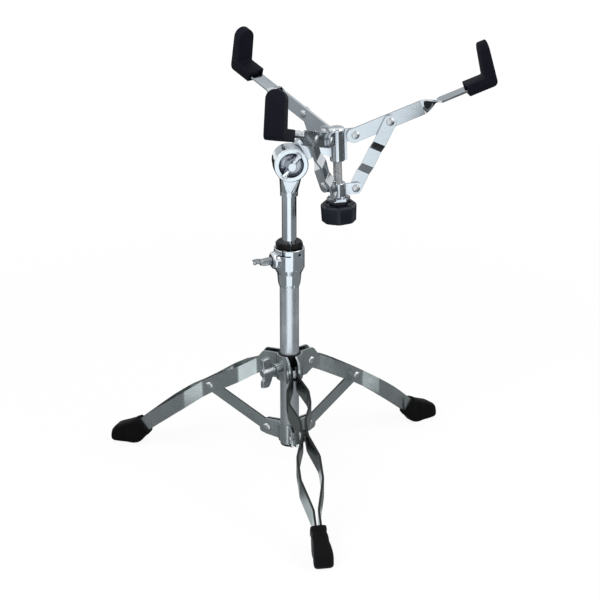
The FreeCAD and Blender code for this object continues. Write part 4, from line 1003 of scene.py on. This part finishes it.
class STAND_OT_wing_bolts(StandOperator):
    """Model the three wing bolts of the legs, the height and the tilter."""

    bl_idname = "stand.wing_bolts"
    bl_label = "Wing bolts"

    def execute(self, context):
        size = sizes()
        chrome = chrome_finish("wing_chrome", WING_GRAIN, peel=0.04, share=0.92)
        dull = chrome_finish("leg_wing_chrome", WING_GRAIN, peel=0.05, share=0.45, roughness=0.32)
        upright = Vector((0, 0, 1))
        self.bolt("leg", dull, upright, LEG_BOLT, size.leg_wing_thick, LEG_WINGS)
        aim = Vector(JOINTS["height_wing_turn"]["axis"])
        across = Matrix.Rotation(HEIGHT_WING_ROLL, 3, aim) @ upright.cross(aim)
        tip = model_ball_tip(*HEIGHT_TIP)
        self.bolt("height", dull, across, HEIGHT_BOLT, size.wing_thick, HEIGHT_WINGS, tip)
        across = Vector((math.cos(TILTER_WING_ROLL), 0, math.sin(TILTER_WING_ROLL)))
        self.bolt("tilter", chrome, across, TILTER_BOLT, size.tilter_wing_thick, TILTER_WINGS)
        return {"FINISHED"}

    def bolt(self, name, chrome, across, seating, thick, wings, *more):
        """One wing bolt on its turning axis, with its wings across."""
        seat, shank_r, shank_end = seating
        hub_l = wings[1]
        shank = model_shank(shank_r, shank_end - seat, hub_l / 2)
        bolt = joined([model_wing_bolt(thick, *wings), shank, *more])
        turn = JOINTS[name + "_wing_turn"]
        aim = Vector(turn["axis"])
        settle(bolt, axes(Vector(turn["pos_m"]) + aim * seat, aim, across))
        fit(bolt, name + "_wing_bolt_cast", name + "_wing", "cast_chrome", chrome, name + "_wing_bolt")


class STAND_OT_arms(StandOperator):
    """Chrome the basket's arms and links, with polishing lines along each."""

    bl_idname = "stand.arms"
    bl_label = "Basket arms and links"

    def execute(self, context):
        for name, turn in ARM_TURN.items():
            chrome = chrome_finish("arm_chrome_" + name, ARM_GRAIN, turn, share=0.8, roughness=0.1)
            dress(chrome, "arm_" + name, "link_" + name)
        return {"FINISHED"}


class STAND_OT_legs(StandOperator):
    """Plate the leg strips, struts and hub plates."""

    bl_idname = "stand.legs"
    bl_label = "Legs, struts and hubs"

    def execute(self, context):
        for name, turn in LEG_TURN.items():
            # Painted shade: the front leg's strips and strut take half the steel's colour, a darker copy of
            # the same steel
            colour = shade(finishes().steel, 0.5 if name == "front" else 1.0)
            steel = steel_finish("leg_steel_" + name, colour, turn)
            dress(steel, "leg_%s_strip_a" % name, "leg_%s_strip_b" % name, "strut_" + name)
        plates = steel_finish("hub_steel", finishes().steel, None, PLATE_GRAIN)
        for place in ("front_right", "rear", "front_left"):
            dress(plates, "lower_hub_plate_" + place, "leg_hub_plate_" + place)
        dress(plates, "leg_clamp_nut")
        return {"FINISHED"}


class STAND_OT_rivets(StandOperator):
    """Model the rivets of the basket and of the legs."""

    bl_idname = "stand.rivets"
    bl_label = "Rivets"

    def execute(self, context):
        steel = fastener_finish("rivet_steel")
        arm = model_rivet(-ARM_OUT - PLAY, TAB_HALF)
        link = model_rivet(-TAB_HALF, ARM_OUT + PLAY)
        crossing = model_rivet(-ARM_OUT - 4 * PLAY - LINK_T, -ARM_IN)
        strut = model_rivet(-ARM_OUT, ARM_OUT)
        sleeve = self.sleeve()
        low = model_rivet(-STRUT_PIVOT_HALF, STRUT_PIVOT_HALF)
        high = model_rivet(-LEG_PIVOT_HALF, LEG_PIVOT_HALF)
        self.set_rivets("arm_pivot_rivets", "basket_head", steel,
                        [(arm, arm_side(name) @ spot(ARM_PIVOT)) for name in ARM_TURN])
        self.set_rivets("link_pivot_rivets", "slider", steel,
                        [(link, arm_side(name) @ spot(ARM_PIVOT, COLLAR_PIVOT)) for name in ARM_TURN])
        for name in ARM_TURN:
            self.set_rivets("arm_%s_rivet" % name, "arm_" + name, steel,
                            [(crossing, arm_frame(name) @ spot(ARM_RIVET))])
        for name in LEG_TURN:
            leg = leg_frame(name)
            self.set_rivets("leg_%s_rivets" % name, "leg_" + name, steel,
                            [(strut, leg @ spot(*STRUT_RIVET)), (sleeve, leg @ spot(*LEG_PIVOT))])
        self.set_rivets("lower_pivot_rivets", "base", steel,
                        [(low, leg_frame(name) @ spot(*STRUT_PIVOT)) for name in LEG_TURN])
        self.set_rivets("leg_pivot_rivets", "leg_hub", steel,
                        [(high, leg_frame(name) @ spot(*LEG_PIVOT)) for name in LEG_TURN])
        for pattern in (arm, link, crossing, strut, sleeve, low, high):
            bpy.data.objects.remove(pattern)
        return {"FINISHED"}

    def set_rivets(self, node, body, steel, parts):
        """Copies patterns to their places, as one piece that stands for the node."""
        made = joined([settle(copied(pattern), place) for pattern, place in parts])
        fit(made, node + "_domed", body, "fastener_steel", steel, node)

    def sleeve(self):
        """Spacer sleeve between the two strips at a leg's hub end."""
        piece = start(bpy.ops.mesh.primitive_cylinder_add, turn=(math.pi / 2, 0, 0),
                      vertices=28, radius=SLEEVE_R, depth=2 * ARM_IN)
        bore(piece, lambda f: abs(f.normal.y) > 0.9, SLEEVE_R - SLEEVE_BORE)
        close_up(piece, 40)
        return piece


class STAND_OT_fasteners(StandOperator):
    """Model the threaded rod, the tilter's nut and the screw of the lower hub."""

    bl_idname = "stand.fasteners"
    bl_label = "Rod, nut and screw"

    def execute(self, context):
        steel = fastener_finish("fastener_steel", 0.7)
        rod = settle(model_rod(), basket_frame())
        fit(rod, "basket_rod_threaded", "basket_head", "fastener_steel", steel, "basket_rod")
        seat = Vector(JOINTS["basket_tilt"]["pos_m"]) + Vector((0, NUT_SEAT, 0))
        nut = settle(model_nut(), axes(seat, (0, 1, 0), bearing(NUT_ROLL)))
        fit(nut, "tilter_nut_hex", "basket_head", "fastener_steel", steel, "tilter_nut")
        turn = Matrix.Rotation(math.pi / 2, 4, "Z")
        screw = settle(model_screw(), Matrix.Translation((0, SCREW_SEAT, STRUT_PIVOT[1])) @ turn)
        fit(screw, "hub_screw_cross", "base", "fastener_steel", steel, "hub_fixing_screw")
        return {"FINISHED"}


class STAND_OT_grips(StandOperator):
    """Model the rubber grips at the ends of the arms."""

    bl_idname = "stand.grips"
    bl_label = "Rubber grips"

    def execute(self, context):
        rubber = moulded_finish("grip_rubber", finishes().rubber, 900.0, 0.55, 5.0, 0.0016, 0.1)
        fit_rubber(model_grip(), "grip", "arm_", {name: arm_frame(name) for name in ARM_TURN}, rubber)
        return {"FINISHED"}


class STAND_OT_feet(StandOperator):
    """Model the rubber feet at the ends of the legs."""

    bl_idname = "stand.feet"
    bl_label = "Rubber feet"

    def execute(self, context):
        rubber = moulded_finish("foot_rubber", finishes().black, 700.0, 0.6, 4.0, 0.0016)
        fit_rubber(model_foot(), "foot", "leg_", {name: leg_frame(name) for name in LEG_TURN}, rubber)
        return {"FINISHED"}


class STAND_OT_knob(StandOperator):
    """Model the knob under the basket and finish its brass insert."""

    bl_idname = "stand.knob"
    bl_label = "Basket knob"

    def execute(self, context):
        plastic = moulded_finish("knob_plastic", finishes().plastic, 1400.0, 0.30, 3.0, 0.001, 0.3)
        knob = settle(model_knob(), basket_frame())
        fit(knob, "basket_knob_moulded", "knob", "black_plastic", plastic, "basket_knob")
        dress(brass_finish("brass_insert"), "knob_insert")
        return {"FINISHED"}


class STAND_OT_mouldings(StandOperator):
    """Finish the bushings, plug and liner in black nylon, and the friction disc."""

    bl_idname = "stand.mouldings"
    bl_label = "Bushings and inner pieces"

    def execute(self, context):
        plastic = moulded_finish("black_plastic", finishes().black, 1400.0, 0.36, 4.0, 0.001, 0.16)
        dress(plastic, "height_bushing", "tube_end_plug", "guide_bush", "leg_hub_liner")
        dress(fibre_finish("friction_disc"), "friction_washer")
        return {"FINISHED"}


def shown_white(tree, plain, shown):
    """Shader that camera, mirror and glass rays see as shown, and that lights the rest as plain."""
    path = add_node(tree, "LightPath").outputs
    seen = path["Is Camera Ray"]
    for name in ("Is Glossy Ray", "Is Transmission Ray"):
        seen = calculate(tree, "MAXIMUM", seen, path[name])
    return add_node(tree, "MixShader", seen, plain, shown).outputs["Shader"]


def floor_finish():
    """Pale floor: white to the eye, with the stand's soft shadow."""
    material, tree, shader = new_finish("studio_floor")
    tree.nodes.remove(shader)
    paper = add_node(tree, "BsdfDiffuse", Color=(0.86, 0.86, 0.87, 1)).outputs["BSDF"]
    glow = add_node(tree, "Emission", Color=(1, 1, 1, 1), Strength=1.03).outputs["Emission"]
    share = spread(tree, measure(tree, "LENGTH", object_place(tree)), 0.88, 1.0, 0.7, 2.0)
    veil = add_node(tree, "MixShader", share, paper, glow).outputs["Shader"]
    give(tree, tree.nodes["Material Output"], Surface=shown_white(tree, paper, veil))
    return material


def panel_finish(name, grey, far=1.0):
    """Felt of a studio panel, far times as pale from the half of its reach on."""
    material, tree, shader = new_finish("studio_" + name)
    tree.nodes.remove(shader)
    place = object_place(tree)
    felt = blend(tree, noise(tree, place, 3.0, 3.0), (0.80, 0.86, 0.90), (0.95, 1.0, 1.03))
    reach = studio().panel_reach
    pale = spread(tree, measure(tree, "LENGTH", place), grey, grey * far, reach / 3, reach / 2)
    glow = add_node(tree, "Emission", Color=felt, Strength=pale).outputs["Emission"]
    give(tree, tree.nodes["Material Output"], Surface=glow)
    return material


class STAND_OT_stage(StandOperator):
    """Build the floor, the room light, the lamps, the panels and the camera."""

    bl_idname = "stand.stage"
    bl_label = "Studio"

    def execute(self, context):
        settings = studio()
        clear_selection()
        bpy.ops.mesh.primitive_plane_add(size=settings.floor_size, location=(0, 0, 0))
        floor = context.object
        floor.name = "studio_floor"
        floor.data.materials.append(floor_finish())
        tones = (("felt_grey", settings.panel_grey, 1.7), ("felt_pale", settings.panel_pale, 1.0),
                 ("felt_slate", settings.panel_grey, 0.45), ("felt_black", settings.panel_black, 1.0),
                 ("paper_white", settings.panel_white, 1.0))
        felts = {name: panel_finish(name, grey, far) for name, grey, far in tones}
        for name, low, high, felt in PANELS:
            self.panel(low, high)
            self.seen_in_metal(context.object, "panel_" + name, felts[felt])
        for name, place, radius, felt in DISCS:
            clear_selection()
            bpy.ops.mesh.primitive_circle_add(vertices=64, radius=radius, fill_type="NGON", location=place)
            self.seen_in_metal(context.object, name, felts[felt])
        for name, turn, rise, size, felt in CARDS:
            self.card(context, turn, rise, size)
            self.seen_in_metal(context.object, "card_" + name, felts[felt])
        self.room(context)
        self.lamp(context, "key_light", KEY_PLACE, KEY_SIZE, settings.key_power)
        self.lamp(context, "fill_light", FILL_PLACE, FILL_SIZE, settings.fill_power)
        bpy.ops.object.camera_add(
            location=settings.camera_place,
            rotation=(math.pi / 2 - settings.camera_pitch, 0, -settings.camera_heading))
        camera = context.object
        camera.data.lens = settings.lens
        camera.data.sensor_width = SENSOR
        context.scene.camera = camera
        context.scene.view_settings.view_transform = "Standard"
        return {"FINISHED"}

    def panel(self, low, high):
        """Flat sector on the floor between two bearings."""
        clear_selection()
        bpy.ops.mesh.primitive_circle_add(
            vertices=96, radius=studio().panel_reach, fill_type="NGON", location=(0, 0, PANEL_Z))
        turn_to("EDIT")
        for outward in (low - 90, high + 90):
            slice_at((0, 0, 0), bearing(outward), clear_outer=True)
        turn_to("OBJECT")

    def card(self, context, turn, rise, size):
        """Card at a bearing and a rise, turned to the stand."""
        clear_selection()
        aim = bearing(turn) * math.cos(math.radians(rise)) + Vector((0, 0, math.sin(math.radians(rise))))
        place = aim * CARD_DISTANCE + CARD_MIDDLE
        bpy.ops.mesh.primitive_plane_add(size=1.0, location=place, rotation=turned_along(aim, "Z"))
        context.object.scale = (*size, 1.0)
        apply_place()

    def seen_in_metal(self, panel, name, felt):
        """Names and finishes a panel that only the metal shows."""
        panel.name = "studio_" + name
        panel.visible_camera = False
        panel.visible_diffuse = False
        panel.visible_shadow = False
        panel.data.materials.append(felt)

    def room(self, context):
        """Even light from all round, with a white view."""
        world = bpy.data.worlds.new("studio_room")
        context.scene.world = world
        world.use_nodes = True
        tree = world.node_tree
        even = give(tree, tree.nodes["Background"], Color=(0.98, 0.99, 1.0, 1), Strength=studio().room_light)
        white = add_node(tree, "Background", Color=(1, 1, 1, 1), Strength=1.0)
        seen = shown_white(tree, even.outputs["Background"], white.outputs["Background"])
        give(tree, tree.nodes["World Output"], Surface=seen)

    def lamp(self, context, name, place, size, power):
        """Square soft light turned to the stand."""
        clear_selection()
        aim = LAMP_AIM - Vector(place)
        bpy.ops.object.light_add(type="AREA", location=place, rotation=turned_along(aim, "-Z"))
        lamp = context.object
        lamp.name = name
        lamp.data.shape = "SQUARE"
        lamp.data.size = size
        lamp.data.energy = power


class STAND_PT_panel(bpy.types.Panel):
    """Pieces, finishes and studio of the stand."""

    bl_idname = "STAND_PT_panel"
    bl_label = "Snare drum stand"
    bl_space_type = "VIEW_3D"
    bl_region_type = "UI"
    bl_category = "Stand"

    def draw(self, context):
        layout = self.layout
        for operator in OPERATORS:
            layout.operator(operator.bl_idname)
        scene = context.scene
        for group in (scene.stand_finishes, scene.stand_sizes, scene.stand_studio):
            box = layout.box()
            for name in group.__annotations__:
                box.prop(group, name)


OPERATORS = (STAND_OT_tubes, STAND_OT_castings, STAND_OT_wing_bolts, STAND_OT_arms, STAND_OT_legs,
             STAND_OT_rivets, STAND_OT_fasteners, STAND_OT_grips, STAND_OT_feet, STAND_OT_knob,
             STAND_OT_mouldings, STAND_OT_stage)
CLASSES = (StandFinishes, StandSizes, StandStudio) + OPERATORS + (STAND_PT_panel,)


def register():
    for made in CLASSES:
        bpy.utils.register_class(made)
    bpy.types.Scene.stand_finishes = bpy.props.PointerProperty(type=StandFinishes)
    bpy.types.Scene.stand_sizes = bpy.props.PointerProperty(type=StandSizes)
    bpy.types.Scene.stand_studio = bpy.props.PointerProperty(type=StandStudio)


def unregister():
    del bpy.types.Scene.stand_studio
    del bpy.types.Scene.stand_sizes
    del bpy.types.Scene.stand_finishes
    for made in reversed(CLASSES):
        bpy.utils.unregister_class(made)


def main():
    register()
    bpy.ops.stand.tubes()
    bpy.ops.stand.castings()
    bpy.ops.stand.wing_bolts()
    bpy.ops.stand.arms()
    bpy.ops.stand.legs()
    bpy.ops.stand.rivets()
    bpy.ops.stand.fasteners()
    bpy.ops.stand.grips()
    bpy.ops.stand.feet()
    bpy.ops.stand.knob()
    bpy.ops.stand.mouldings()
    bpy.ops.stand.stage()


if __name__ == "__main__":
    main()
